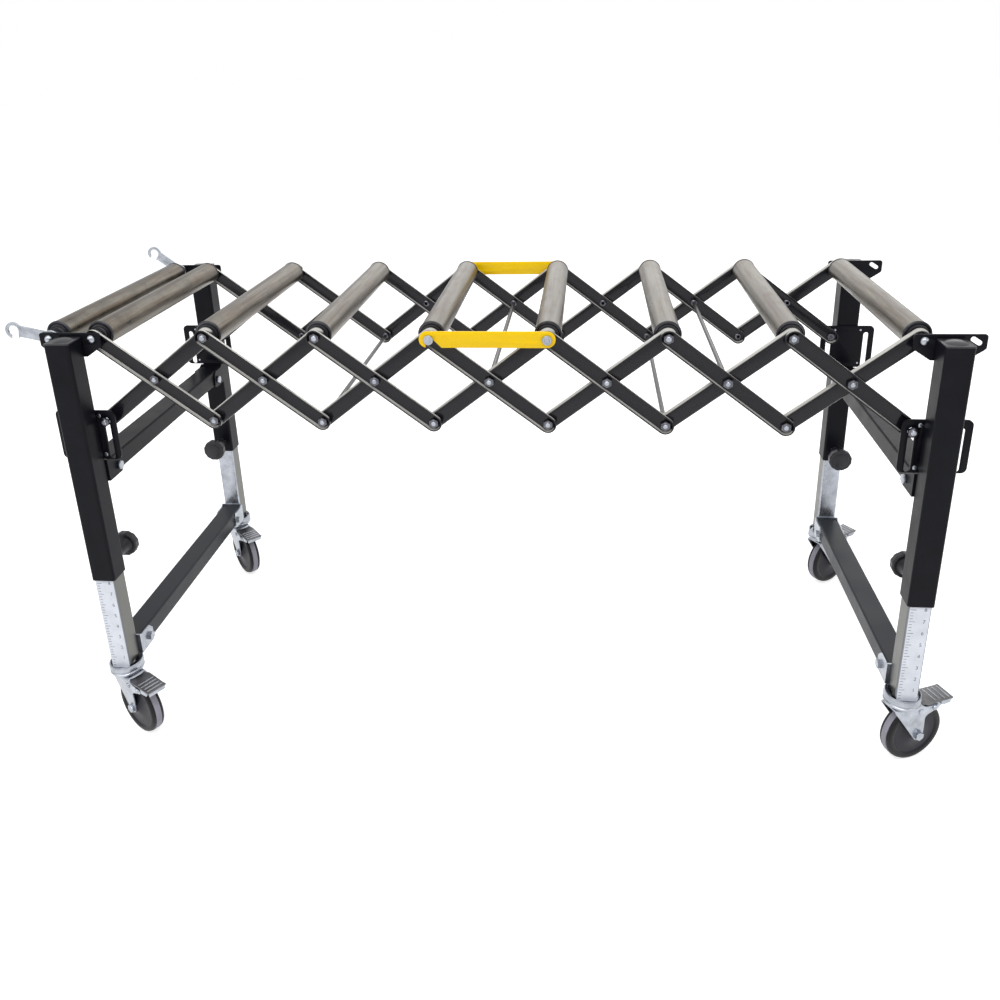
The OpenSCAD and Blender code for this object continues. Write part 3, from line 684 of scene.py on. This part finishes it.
@finish("Shoulder rubber")
def shoulder_rubber(name, look):
    return mottled(name, look.shoulder, 0.25, 70.0, 0.4, 0.55, 0.2, Specular_IOR_Level=0.25)


@finish("Tread rubber")
def tread_rubber(name, look):
    return mottled(name, look.rubber, 0.16, 60.0, 0.5, 0.7, 0.3)


@finish("Lock paint")
def lock_paint(name, look):
    return mottled(name, look.lock, 0.04, 25.0, 0.22, 0.32, 0.05, Specular_IOR_Level=0.2,
                   Coat_Weight=0.08, Coat_Roughness=0.12)


# Pieces

def hexagon(flats, low, high, chamfer, material):
    """Six-sided body between two heights, its edges eased."""
    clear_selection()
    bpy.ops.mesh.primitive_cylinder_add(vertices=6, radius=flats / 2 / math.cos(math.radians(30)),
                                        depth=high - low, location=(0, 0, (low + high) / 2))
    body = settle(bpy.context.active_object, "hexagon", material)
    return smooth(round_edges(body, chamfer))


def lock_nut(flats, height, radius):
    """Hexagonal nut with a chamfer and a domed collar, seat at z = 0, with the end of its thread."""
    wide, dome, tip = flats * 0.4, height + 0.0012, height + 0.002
    body = hexagon(flats, 0, height, 0.0006, dark_steel())
    collar = turned([(0, height / 2), (wide, height / 2), (wide, height + 0.0004),
                     (flats * 0.34, height + 0.0011), (radius + 0.0004, dome), (0, dome)], SMALL_STEPS)
    settle(collar, "collar", dark_steel())
    shank = radius - 0.0002
    thread = turned([(0, height), (shank, height), (shank, height + 0.0015), (radius - 0.0009, tip),
                     (0, tip)], SMALL_STEPS)
    settle(thread, "thread", zinc_plate())
    return joined([body, collar, thread], "lock_nut")


def pressed_link(s):
    """Channel link about its middle along X: web at y = 0, edges turned towards +Y."""
    link = drawn_out(stadium(LINK_REACH, s.width / 2), s.depth, tray=True)
    round_edges(link, s.bend, segments=4, angle=60)
    finish_with(link, "SOLIDIFY", thickness=s.sheet, offset=-1.0, use_even_offset=True)
    return settle(smooth(link), "pressed_link", link_enamel())


def cell_link(stock, cell, side, falling, outside):
    s = sizes("conveyor_links")
    tilt = math.degrees(LINK_TILT) * (1 if falling else -1)
    face = move(0, s.inner_face + s.web_gap, 0) if outside else move(0, s.inner_face, 0) @ MIRROR_Y
    return again(stock["link"], cell_middle(cell) @ on_side(side) @ face @ turn(tilt, "Y"))


def cell_middle(cell):
    return move(TOPS[cell] + PITCH / 2, 0, (AXLE_Z + LOW_Z) / 2)


def outer_web(s):
    """Outside face of the outer links' webs, from the row's centre plane."""
    return s.inner_face + s.web_gap + s.sheet


def rod(length_of, radius, material):
    """Round bar about the middle, along Y, its ends chamfered."""
    half, ease = length_of / 2, 0.0005
    bar = turned([(0, -half), (radius - ease, -half), (radius, ease - half), (radius, half - ease),
                  (radius - ease, half), (0, half)], SMALL_STEPS)
    return settle(bar, "rod", material, place=LAY_Y)


def rivet_pin(s):
    """Rivet of one side about the row's centre plane, along +Y: head inside, nut outside."""
    inner = s.inner_face - s.sheet - s.face_gap
    outer = outer_web(s) + s.face_gap
    wide, tip = s.nut_flats / 2, outer + s.nut_height
    shank = rod(tip - inner + s.head, s.rivet_radius, zinc_plate())
    put(shank, move(0, (tip + inner - s.head) / 2, 0))
    head = turned([(0, 0), (wide, 0), (wide, 0.001), (wide - 0.0012, s.head - 0.0006), (wide / 2, s.head),
                   (0, s.head)], SMALL_STEPS)
    settle(head, "head", dark_steel(), place=move(0, inner, 0) @ turn(90, "X"))
    nut = put(lock_nut(s.nut_flats, s.nut_height, s.rivet_radius), move(0, outer, 0) @ LAY_Y)
    return joined([shank, head, nut], "rivet_pin")


def roller_tube(s):
    """Roller tube about the origin, along Z."""
    r, half, ease = s.tube_radius, s.tube_half, 0.0006
    inside = r - s.tube_wall
    tube = turned([(inside, -half), (r - ease, -half), (r, ease - half), (r, half - ease), (r - ease, half),
                   (inside, half)], LARGE_STEPS)
    return settle(tube, "tube", roller_steel())


def roller_end(s):
    """End cap towards +Z: plug in the tube, rim, groove with a dark ring, raised hub and bore."""
    half, face = s.tube_half, s.tube_half + s.cap_rim
    hub_top, bore = face + s.hub_rise, s.axle_radius + 0.0001
    rim, hub, plug, root = s.cap_radius, s.hub_radius, s.tube_radius - 0.0017, half + 0.0001
    cap = turned([(bore, half - 0.01), (plug, half - 0.01), (plug, root), (rim - 0.0005, root)]
                 + beside(rim, half, (0, 0.6)) + beside(rim, face, (0, -1.2), (-1.2, 0))
                 + beside(hub, face, (4.2, 0), (3.4, -0.9), (2.7, -0.9), (2.2, 1.2), (1.2, 1.6), (-1.8, 1.6))
                 + beside(hub, hub_top, (-2.2, -0.6), (-2.8, 0))
                 + beside(bore, hub_top, (2.7, 0), (2.1, -0.8), (0, -0.8)), LARGE_STEPS)
    settle(cap, "cap", cap_plastic())
    ring = turned(beside(hub, face, (3.1, -0.8)) + beside(rim, face, (-1.6, -0.8), (-2.2, 0.3))
                  + beside(hub, face, (4.2, 0.3)), LARGE_STEPS)
    settle(ring, "ring", dark_steel())
    return joined([cap, ring], "roller_end")


class CONVEYOR_OT_rollers(bpy.types.Operator):
    """Roller tubes with stepped end caps"""
    bl_idname = "conveyor.rollers"
    bl_label = "Rollers"

    def execute(self, context):
        s = sizes("conveyor_rollers")
        end = roller_end(s)
        roller = joined([roller_tube(s), again(end, AS_IS), again(end, turn(180, "X"))], "roller")
        put(roller, LAY_Y)
        for k in range(1, CELLS + 3):
            piece = again(roller, move(*PLACES[f"roller_{k}_spin"]), f"roller_{k}_dressed")
            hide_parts(f"roller_{k}")
            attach(piece, f"roller_{k}")
        for spare in (end, roller):
            bpy.data.objects.remove(spare)
        return {"FINISHED"}


def link_stock(s):
    """The pieces that the lattice repeats, each made once."""
    roller = sizes("conveyor_rollers")
    axle = roller.axle_radius
    near = roller.tube_half + roller.cap_rim + roller.hub_rise + s.face_gap
    far = s.inner_face - s.sheet - s.face_gap
    return {
        "link": pressed_link(s),
        "pin": rivet_pin(s),
        "cross_rod": put(rod(2 * s.inner_face, s.rivet_radius, worn_zinc()), move(0, ROW_Y, 0)),
        "nut": put(lock_nut(s.nut_flats, s.nut_height, axle), LAY_Y),
        "sleeve": put(rod(far - near, axle + s.sleeve_wall, zinc_plate()), move(0, (far + near) / 2, 0)),
        "head": rod(s.head, s.nut_flats / 2, dark_steel()),
        "washer": rod(s.washer, axle + s.washer_rim, zinc_plate())}


def slot_pin(s, stock, side, web_in, web_out, at):
    """End pin through its link and the slot of the bracket: bar, collar, head, washer and nut."""
    base = at @ on_side(side)
    start = web_in - s.face_gap - s.head
    tip = PLATE_OUT + s.face_gap + s.washer
    reach = tip + s.nut_height + s.thread - start
    bar = rod(reach, sizes("conveyor_rollers").axle_radius, zinc_plate())
    put(bar, base @ move(0, start + reach / 2, 0))
    shoulder = PLATE_OUT - s.bracket - web_out - 2 * s.face_gap
    collar = rod(shoulder, s.nut_flats / 2, zinc_plate())
    put(collar, base @ move(0, web_out + s.face_gap + shoulder / 2, 0))
    return [bar, collar, again(stock["head"], base @ move(0, start + s.head / 2, 0)),
            again(stock["washer"], base @ move(0, tip - s.washer / 2, 0)),
            again(stock["nut"], base @ move(0, tip, 0))]


def top_axle(s, stock, top, locked):
    """Roller axle with its sleeves and nuts, longer where the lock plates hang on it."""
    lock_out = s.inner_face + s.web_gap + s.depth + s.lock_gap + s.lock_sheet
    reach = lock_out + s.lock_end if locked else outer_web(s) + s.nut_height + s.thread
    bar = rod(2 * reach, sizes("conveyor_rollers").axle_radius, zinc_plate())
    parts = [put(bar, top @ move(0, ROW_Y, 0))]
    for base in (top @ on_side(side) for side in SIDES):
        parts += [again(stock["sleeve"], base),
                  again(stock["nut"], base @ move(0, outer_web(s) + s.face_gap, 0))]
        if locked:
            stud = rod(s.stud, s.nut_flats / 2 + 0.0005, zinc_plate())
            parts.append(put(stud, base @ move(0, lock_out + 2 * s.face_gap + s.stud / 2, 0)))
    return parts


def falling_links(s, stock, cell):
    """Falling links of a cell with their middle rivets and what holds their lower pivot."""
    low = move(TOPS[cell + 1], 0, LOW_Z)
    last = cell == CELLS - 1
    parts = [cell_link(stock, cell, "front", True, True), cell_link(stock, cell, "rear", True, False)]
    for place, rodded in ((cell_middle(cell), MIDDLE_RODS), (low, LOW_RODS)):
        if place is low and last:
            return (parts + slot_pin(s, stock, "front", s.inner_face + s.web_gap, outer_web(s), low)
                    + slot_pin(s, stock, "rear", s.inner_face - s.sheet, s.inner_face, low))
        parts += [again(stock["pin"], place @ on_side(side)) for side in SIDES]
        if cell + 1 in rodded:
            parts.append(again(stock["cross_rod"], place))
    return parts


def rising_links(s, stock, cell):
    """Rising links of a cell with the axle of their top pivot, and the pins at the row's start."""
    parts = [cell_link(stock, cell, "front", False, False), cell_link(stock, cell, "rear", False, True)]
    if cell < CELLS - 1:
        parts += top_axle(s, stock, move(TOPS[cell + 1], 0, AXLE_Z), cell + 1 in LOCKED)
    if cell == 0:
        start = move(TOPS[0], 0, LOW_Z)
        parts += slot_pin(s, stock, "front", s.inner_face - s.sheet, s.inner_face, start)
        parts += slot_pin(s, stock, "rear", s.inner_face + s.web_gap, outer_web(s), start)
    return parts


class CONVEYOR_OT_links(bpy.types.Operator):
    """Channel links of the lattice with their rivets, cross rods and axles"""
    bl_idname = "conveyor.links"
    bl_label = "Links"

    def execute(self, context):
        s = sizes("conveyor_links")
        stock = link_stock(s)
        for cell in range(CELLS):
            name = f"down_links_{cell + 1}"
            piece = joined(falling_links(s, stock, cell), name + "_dressed")
            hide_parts(name)
            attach(piece, f"down_{cell + 1}")
            name = f"up_links_{cell + 1}"
            piece = joined(rising_links(s, stock, cell), name + "_dressed")
            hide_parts(name)
            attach(piece, f"up_{cell + 1}")
        for spare in stock.values():
            bpy.data.objects.remove(spare)
        return {"FINISHED"}


def leg_scale(s, low, high):
    """Scale on an inner leg's face towards -Y: pale ground, fine ticks on the left, numbers on the right."""
    half, face = s.inner_width / 2 - s.scale_side, -s.inner_width / 2
    low, high = low + s.scale_inset, high - s.scale_inset
    stroke, margin, every = 0.00035, 0.005, 4
    ground = plate([(-half, low), (half, low), (half, high), (-half, high)], 0.0002, edge=0)
    settle(ground, "ground", scale_plate(), place=move(0, face - 0.00018, 0))
    tick = plate([(0, -stroke), (1, -stroke), (1, stroke), (0, stroke)], 0.0001, edge=0)
    settle(tick, "tick", scale_ink())
    parts = [ground]
    for k in range(int((high - low - 2 * margin) / s.tick_step)):
        z = low + margin + k * s.tick_step
        numbered = k % every == 0
        reach = Matrix.Scale(s.long_tick if numbered else s.short_tick, 4, X_AXIS)
        parts.append(again(tick, move(0.0015 - half, face - 0.00024, z) @ reach))
        if numbered and k:
            place = move(half - 0.0068, face - 0.0002, z) @ turn(90, "X")
            parts.append(figure(str(k // every), s.figure_height, place))
    bpy.data.objects.remove(tick)
    return joined(parts, "leg_scale")


def figure(digits, height, place):
    """Number drawn flat about a place."""
    clear_selection()
    bpy.ops.object.text_add(location=(0, 0, 0))
    text = bpy.context.active_object
    text.data.body = digits
    text.data.size = height
    text.data.align_x, text.data.align_y = "CENTER", "CENTER"
    text.data.extrude = 0.00003
    text.data.resolution_u = 2
    bpy.ops.object.convert(target="MESH")
    return settle(text, "figure", scale_ink(), place=place)


class CONVEYOR_OT_stands(bpy.types.Operator):
    """Tubes, brackets, caps and fasteners of the two stands"""
    bl_idname = "conveyor.stands"
    bl_label = "Stands"

    def execute(self, context):
        for end in ENDS:
            for node in ("outer_legs", "crossbar"):
                self.dress(f"{end}_{node}", powder_coat())
            self.dress(f"{end}_foot_bar", foot_paint())
            self.dress(f"{end}_inner_legs", zinc_tube(), zinc_plate())
            self.plate_saddles(f"{end}_inner_legs", PLACES[f"front_{end}_swivel"])
            for node in ("top_brackets", "slot_brackets"):
                piece = softened(f"{end}_{node}", 0.0005, f"{end}_{node}_dressed", powder_coat())
            softened(f"{end}_leg_caps", 0.0006, f"{end}_leg_caps_dressed", cap_plastic())
            softened(f"{end}_fasteners", 0.0004, f"{end}_fasteners_dressed", zinc_plate())
        softened("left_axles", 0.0004, "left_axles_dressed", zinc_plate())
        model = leg_scale(sizes("conveyor_stands"), *(corner.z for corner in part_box("left_inner_legs")))
        for corner in CORNERS:
            side, end = corner.split("_")
            leg = PLACES[f"{corner}_swivel"]
            facing = AS_IS if side == "front" else turn(180, "Z")
            piece = again(model, move(leg.x, leg.y, 0) @ facing, f"{corner}_scale")
            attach(piece, f"{end}_lower")
        bpy.data.objects.remove(model)
        return {"FINISHED"}

    def dress(self, node, *finishes):
        mesh = frame["nodes"][node].data
        mesh.materials.clear()
        for finish in finishes:
            mesh.materials.append(finish)

    def plate_saddles(self, node, leg):
        """Gives saddles, bolts and the rear legs' faces towards the row the second of their finishes."""
        mesh = frame["nodes"][node].data
        half = max(abs(vertex.co.y) for vertex in mesh.vertices) - abs(leg.y)
        for face in mesh.polygons:
            face.material_index = int(abs(face.center.y) < abs(leg.y) - half - 0.0002)


def clamp_knob(s):
    """Lobed knob on a flared neck and a screw, along +Y from the row's centre plane."""
    face, r = PLATE_OUT - s.knob_reach, s.knob_radius
    lobes, steps = 12, 96
    outline = []
    for angle in (2 * math.pi * k / steps for k in range(steps)):
        reach = r - s.knob_dip * (1 + math.cos(lobes * angle)) / 2
        outline.append((reach * math.cos(angle), reach * math.sin(angle)))
    head = round_edges(plate(outline, s.knob_head, edge=0), 0.0028, segments=4, angle=60)
    settle(smooth(head), "head", knob_plastic(), place=move(0, face + 0.0015, 0))
    rim = r * 0.7
    badge = turned([(0, 0), (r * 0.62, 0), (r * 0.68, 0.0006), (rim, 0.0016), (rim, 0.004), (0, 0.004)], 48)
    settle(badge, "badge", knob_plastic(), place=move(0, face, 0) @ LAY_Y)
    neck = turned(beside(0, 0, (0, 0), (14.5, 0), (12.8, 3), (11.5, 9), (9.8, 20), (9, 30.5), (8.2, 31.2),
                       (0, 31.2)), 40)
    settle(neck, "neck", knob_plastic(), place=move(0, face + 0.0148, 0) @ LAY_Y)
    low, tip = face + 0.04, PLATE_OUT + 0.0022
    screw = put(rod(tip - low, 0.004, zinc_plate()), move(0, (tip + low) / 2, 0))
    return joined([head, badge, neck, screw], "clamp_knob")


class CONVEYOR_OT_hooks(bpy.types.Operator):
    """Hooks, lock plates and clamp knobs"""
    bl_idname = "conveyor.hooks"
    bl_label = "Hooks, locks and knobs"

    def execute(self, context):
        for side in SIDES:
            softened(f"{side}_hook", 0.0005, f"{side}_hook_dressed", zinc_plate())
            softened(f"{side}_lock", 0.0005, f"{side}_lock_dressed", lock_paint())
        model = clamp_knob(sizes("conveyor_stands"))
        for corner in CORNERS:
            side = corner.split("_")[0]
            place = PLACES[f"{corner}_knob_turn"]
            piece = again(model, move(place.x, 0, place.z) @ on_side(side), f"{corner}_knob_dressed")
            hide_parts(f"{corner}_knob")
            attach(piece, f"{corner}_knob")
        bpy.data.objects.remove(model)
        return {"FINISHED"}


def hex_bolt(flats, height, radius):
    """Chamfered hexagon on a washer, seat at z = 0."""
    base, wide, low, high = 0.0008, flats * 0.42, height - 0.0004, height + 0.0002
    parts = [hexagon(flats, base, height, 0.0007, zinc_plate()),
             turned([(0, low), (wide, low), (flats * 0.34, high), (0, high)], SMALL_STEPS),
             turned([(radius, 0), (flats * 0.66, 0), (flats * 0.66, base), (radius, base)], 32)]
    for part in parts[1:]:
        settle(part, "part", zinc_plate())
    return joined(parts, "hex_bolt")


def cheek_outline(s):
    """Side view of a fork: swept back edge, boss round the axle, wing under the pedal."""
    top, r, wheel, x = s.head_top - s.crown_drop, s.head_radius, s.wheel_radius, s.trail
    return (beside(-r, top, (4, 0), (4.5, -5)) + arc(x, wheel, 0.009, 208, 350, 12)
            + beside(x, wheel, (9.2, 14), (8.5, 26)) + arc(x + 0.0185, top - 0.0295, 0.0102, 178, 108, 6)
            + beside(x, top, (26, -15.8)) + arc(x + 0.0295, top - 0.0112, 0.0042, -70, 80, 6)
            + beside(r, top, (6, -5.5), (1, -3), (-3, 0)))


def fork_sheet(s):
    """One bent sheet, cut to the cheeks' outline."""
    top, wall, out, bend = s.head_top - s.crown_drop, s.sheet, s.cheek_out, s.bend
    corner, inside, foot = out - bend, bend - wall, 0.03
    section = ([(out - wall, foot), (out, foot)] + arc(corner, top - bend, bend, 0, 90, 5)
               + arc(-corner, top - bend, bend, 90, 180, 5) + [(-out, foot), (wall - out, foot)]
               + arc(-corner, top - bend, inside, 180, 90, 4) + arc(corner, top - bend, inside, 90, 0, 4))
    sheet = put(drawn_out(section, 0.12), turn(-90, "Z") @ move(0, -0.04, 0))
    cutter = put(plate(cheek_outline(s), 0.06, edge=0), move(0, -0.03, 0))
    finish_with(sheet, "BOOLEAN", operation="INTERSECT", object=cutter, solver="EXACT")
    bpy.data.objects.remove(cutter)
    return settle(smooth(round_edges(sheet, 0.0005, angle=40)), "sheet", zinc_plate())


def swivel_head(s):
    """Pressed cup of the swivel: lower flange, ball race groove and a raised rim."""
    r, high = s.head_radius, s.head_top
    crown = turned(beside(0, high, (6, -17.2))
                   + beside(r, high, (-6, -17.2), (-2, -15.5), (0, -12.5), (0, -10.5), (-1.2, -9.6),
                          (-1.6, -8.4), (-1.2, -7.4), (0, -6.6), (0, 0.6), (-0.7, 2), (-1.8, 2.5),
                          (-2.8, 2), (-3.6, 0.2), (-5.2, -1.4))
                   + beside(0, high, (14.5, -1.4), (13, -0.2), (6, -0.2)), LARGE_STEPS)
    return settle(crown, "crown", zinc_plate())


def pressed_fork(s):
    """Fork with its swivel head, bolts and rivets, at the origin, trailing towards +X."""
    parts = [fork_sheet(s), swivel_head(s)]
    bolt = hex_bolt(s.bolt_flats, s.bolt_height, s.bolt_radius)
    rivet = turned(beside(0, 0, (0, 0), (4.6, 0), (4.6, 0.6), (3.8, 1.8), (2, 2.4), (0, 2.5)), SMALL_STEPS)
    settle(rivet, "rivet", zinc_plate())
    for side in (AS_IS, MIRROR_Y):
        outside = side @ move(0, s.cheek_out, 0) @ LAY_Y
        parts.append(again(bolt, move(s.trail, 0, s.wheel_radius) @ outside))
        for x, drop in ((0.05, 0.028), (0.024, 0.029)):
            parts.append(again(rivet, move(x, 0, s.head_top - drop) @ outside))
    parts.append(put(rod(2 * s.cheek_out, s.bolt_radius, zinc_plate()), move(s.trail, 0, s.wheel_radius)))
    for spare in (bolt, rivet):
        bpy.data.objects.remove(spare)
    return joined(parts, "pressed_fork")


def pedal_board(s):
    """Flat of a pedal, hollowed to follow the crown; traced in X and Z, then laid flat."""
    tip, half = s.pedal_reach, s.pedal_width / 2
    side = [(0.0325, half - 0.0022), (0.036, half)] + beside(tip, half, (-6, -0.8), (-1.2, 0), (0, -1.2))
    hollow = arc(0, 0, s.head_radius + 0.0016, 28, -28, 8)
    outline = hollow + [(x, -z) for x, z in side] + side[::-1]
    board = plate(outline, s.sheet, edge=0.0007)
    flat = move(0, 0, s.head_top - 0.021 + s.sheet) @ turn(-90, "X")
    return settle(board, "board", worn_zinc(), place=flat)


def brake_pedal(s):
    """Pedal plate hollowed round the crown, with ribs, turned sides, ears and a brake shoe."""
    z, tip, half = s.head_top - 0.021, s.pedal_reach, s.pedal_width / 2
    parts = [pedal_board(s)]
    rib = turned(beside(0, -half, (0, 3), (1.3, 3.5), (1.5, 5))
                 + beside(0, half, (1.5, -5), (1.3, -3.5), (0, -3)), 16)
    settle(rib, "rib", zinc_plate(), place=Matrix.Scale(0.6, 4, Z_AXIS) @ LAY_Y)
    for k in range(4):
        parts.append(again(rib, move(tip - 0.0065 - 0.0085 * k, 0, z + s.sheet - 0.0002)))
    bpy.data.objects.remove(rib)
    lip = plate(beside(tip, z, (-2.2, -6), (-0.2, -5.5), (0, 0.5), (-2.2, 1.2)), 2 * half - 0.006)
    parts.append(settle(lip, "lip", zinc_plate(), place=move(0, 0.003 - half, 0)))
    skirt = plate(beside(0, z, (60.5, 1), (61.5, -5), (66, -6.8)) + beside(tip, z, (-6, -5.5), (-3, 1)),
                  0.002, edge=0.0005)
    settle(skirt, "skirt", zinc_plate(), place=move(0, half - 0.002, 0))
    ear_out = s.cheek_out - s.sheet - s.play
    ear = plate(beside(0, z, (38, 1), (44, -10), (47, -13), (55, -13)) + beside(tip, z, (-4, -2), (-4, 1)),
                s.sheet, edge=0.0005)
    settle(ear, "ear", zinc_plate(), place=move(0, ear_out - s.sheet, 0))
    for part in (skirt, ear):
        parts += [part, again(part, MIRROR_Y)]
    shoe = plate(beside(0, z, (58, -10.5), (58.5, -10.5), (64, -9.8), (64, 0.5), (58, 0.5)),
                 2 * ear_out - 0.002, edge=0.0006)
    parts.append(settle(shoe, "shoe", dark_steel(), place=move(0, 0.001 - ear_out, 0)))
    return joined(parts, "brake_pedal")


def wheel_on_axle(s):
    """Domed wheel with a tread band between two shoulders, axle along Y at the origin."""
    r, half, hub = s.wheel_radius, s.wheel_width / 2, s.cheek_out - s.sheet - s.play
    tread, steps = half * 0.45, 96
    side = ([(r - 0.0105, tread)]
            + beside(r, half, (-10.5, -0.7), (-12.5, -2.2), (-20, -2.1), (-28, -1.2), (-33.5, 0.2))
            + beside(0, half, (12.5, 1.2)) + beside(0, hub, (10.5, -0.8), (9.5, 0), (4.2, 0)))
    core = turned([(a, -b) for a, b in reversed(side)] + side, steps)
    settle(core, "core", wheel_core())
    shoulder = turned(beside(r, tread, (-10.8, -0.4), (-1.2, 0.4), (-0.6, 1.2))
                      + beside(r, half, (-0.8, -3.5), (-2, -1.4), (-4.5, -0.2), (-8.5, 0), (-10.8, -0.8)),
                      steps)
    settle(shoulder, "shoulder", shoulder_rubber())
    band = turned(beside(r, -tread, (-6, 0), (-0.4, 0), (0, 0.6))
                  + beside(r, tread, (0, -0.6), (-0.4, 0), (-6, 0)), steps)
    settle(band, "band", tread_rubber())
    return put(joined([core, shoulder, again(shoulder, turn(180, "X")), band], "wheel"), LAY_Y)


class CONVEYOR_OT_casters(bpy.types.Operator):
    """Swivel casters with brake pedals"""
    bl_idname = "conveyor.casters"
    bl_label = "Casters"

    def execute(self, context):
        s = sizes("conveyor_casters")
        models = {"fork": pressed_fork(s), "pedal": brake_pedal(s), "wheel": wheel_on_axle(s)}
        for corner in CORNERS:
            swivel = PLACES[f"{corner}_swivel"]
            axle = AXES[f"{corner}_wheel_spin"]
            heading = turn(math.degrees(math.atan2(-axle.x, axle.y)), "Z")
            for kind, model in models.items():
                base = (move(*PLACES[f"{corner}_wheel_spin"]) if kind == "wheel"
                        else move(swivel.x, swivel.y, 0)) @ heading
                name = f"{corner}_{kind}"
                piece = again(model, base, name + "_dressed")
                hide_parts(name)
                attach(piece, name)
        for model in models.values():
            bpy.data.objects.remove(model)
        return {"FINISHED"}


class CONVEYOR_OT_stage(bpy.types.Operator):
    """Floor, lights and camera"""
    bl_idname = "conveyor.stage"
    bl_label = "Stage"

    def execute(self, context):
        self.floor()
        self.lights()
        self.sky()
        self.camera()
        return {"FINISHED"}

    def floor(self):
        clear_selection()
        bpy.ops.mesh.primitive_plane_add(size=60, location=(0, 0, 0))
        floor = settle(bpy.context.active_object, "studio_floor")
        material = bpy.data.materials.new("Studio floor")
        material.use_nodes = True
        tree = material.node_tree
        shader = tree.nodes["Principled BSDF"]
        shader.inputs["Base Color"].default_value = (*sizes("conveyor_finishes").floor, 1)
        shader.inputs["Roughness"].default_value = 0.9
        shader.inputs["Specular IOR Level"].default_value = 0.1
        ray = add_node(tree, "ShaderNodeLightPath")
        seen = math_node(tree, "MAXIMUM", ray.outputs["Is Camera Ray"], ray.outputs["Is Glossy Ray"])
        shader.inputs["Emission Color"].default_value = (1, 1, 1, 1)
        tree.links.new(math_node(tree, "MULTIPLY", seen, FLOOR_GLOW), shader.inputs["Emission Strength"])
        floor.data.materials.append(material)
        floor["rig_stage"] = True

    def lights(self):
        low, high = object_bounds()
        middle = (low + high) / 2
        for name, place, width, height, power in LAMPS:
            lamp = bpy.data.lights.new(name, "AREA")
            lamp.shape = "RECTANGLE"
            lamp.size, lamp.size_y = width, height
            lamp.energy = power
            holder = bpy.data.objects.new(name, lamp)
            bpy.context.scene.collection.objects.link(holder)
            holder.location = place
            holder.rotation_mode = "QUATERNION"
            holder.rotation_quaternion = (middle - Vector(place)).to_track_quat("-Z", "Y")

    def sky(self):
        world = bpy.data.worlds.new("Studio air")
        bpy.context.scene.world = world
        world.use_nodes = True
        tree = world.node_tree
        back = tree.nodes["Background"]
        back.inputs["Color"].default_value = (1, 1, 1, 1)
        ray = add_node(tree, "ShaderNodeLightPath")
        seen = math_node(tree, "MAXIMUM", ray.outputs["Is Camera Ray"], ray.outputs["Is Glossy Ray"])
        seen = math_node(tree, "MAXIMUM", seen, ray.outputs["Is Transmission Ray"])
        tree.links.new(spread_node(tree, seen, 0.0, 1.0, AIR_LIGHT, AIR_GLOW), back.inputs["Strength"])

    def camera(self):
        data = bpy.data.cameras.new("camera")
        holder = bpy.data.objects.new("camera", data)
        bpy.context.scene.collection.objects.link(holder)
        bpy.context.scene.camera = holder
        data.sensor_width = 36
        data.lens = 32.18
        data.shift_x = 0.0073
        data.shift_y = -0.1161
        data.clip_start, data.clip_end = 0.05, 100
        yaw, pitch, roll = math.radians(6.453), math.radians(19.895), math.radians(-1.774)
        ahead = Vector((-math.sin(yaw) * math.cos(pitch), math.cos(yaw) * math.cos(pitch), -math.sin(pitch)))
        right = Vector((math.cos(yaw), math.sin(yaw), 0))
        up = right.cross(ahead)
        across = math.cos(roll) * right + math.sin(roll) * up
        upward = -math.sin(roll) * right + math.cos(roll) * up
        facing = Matrix((across, upward, -ahead)).transposed()
        holder.rotation_mode = "QUATERNION"
        holder.rotation_quaternion = facing.to_quaternion()
        holder.location = (0.15, -1.423, 1.0433)


class CONVEYOR_PT_panel(bpy.types.Panel):
    """Buttons that build the conveyor"""
    bl_idname = "CONVEYOR_PT_panel"
    bl_label = "Conveyor"
    bl_space_type = "VIEW_3D"
    bl_region_type = "UI"
    bl_category = "Conveyor"

    def draw(self, context):
        for operator in BUILDERS:
            self.layout.operator(operator.bl_idname)


BUILDERS = (CONVEYOR_OT_rollers, CONVEYOR_OT_links, CONVEYOR_OT_stands, CONVEYOR_OT_hooks,
            CONVEYOR_OT_casters, CONVEYOR_OT_stage)
GROUPS = (("conveyor_rollers", RollerSizes), ("conveyor_links", LinkSizes), ("conveyor_stands", StandSizes),
          ("conveyor_casters", CasterSizes), ("conveyor_finishes", Finishes))


def register():
    for name, group in GROUPS:
        bpy.utils.register_class(group)
        setattr(bpy.types.Scene, name, PointerProperty(type=group))
    for kind in (*BUILDERS, CONVEYOR_PT_panel):
        bpy.utils.register_class(kind)


def unregister():
    for kind in (CONVEYOR_PT_panel, *reversed(BUILDERS)):
        bpy.utils.unregister_class(kind)
    for name, group in reversed(GROUPS):
        delattr(bpy.types.Scene, name)
        bpy.utils.unregister_class(group)


def main():
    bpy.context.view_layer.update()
    register()
    bpy.context.scene.view_settings.view_transform = "Standard"
    bpy.ops.conveyor.rollers()
    bpy.ops.conveyor.links()
    bpy.ops.conveyor.stands()
    bpy.ops.conveyor.hooks()
    bpy.ops.conveyor.casters()
    bpy.ops.conveyor.stage()


if __name__ == "__main__":
    main()
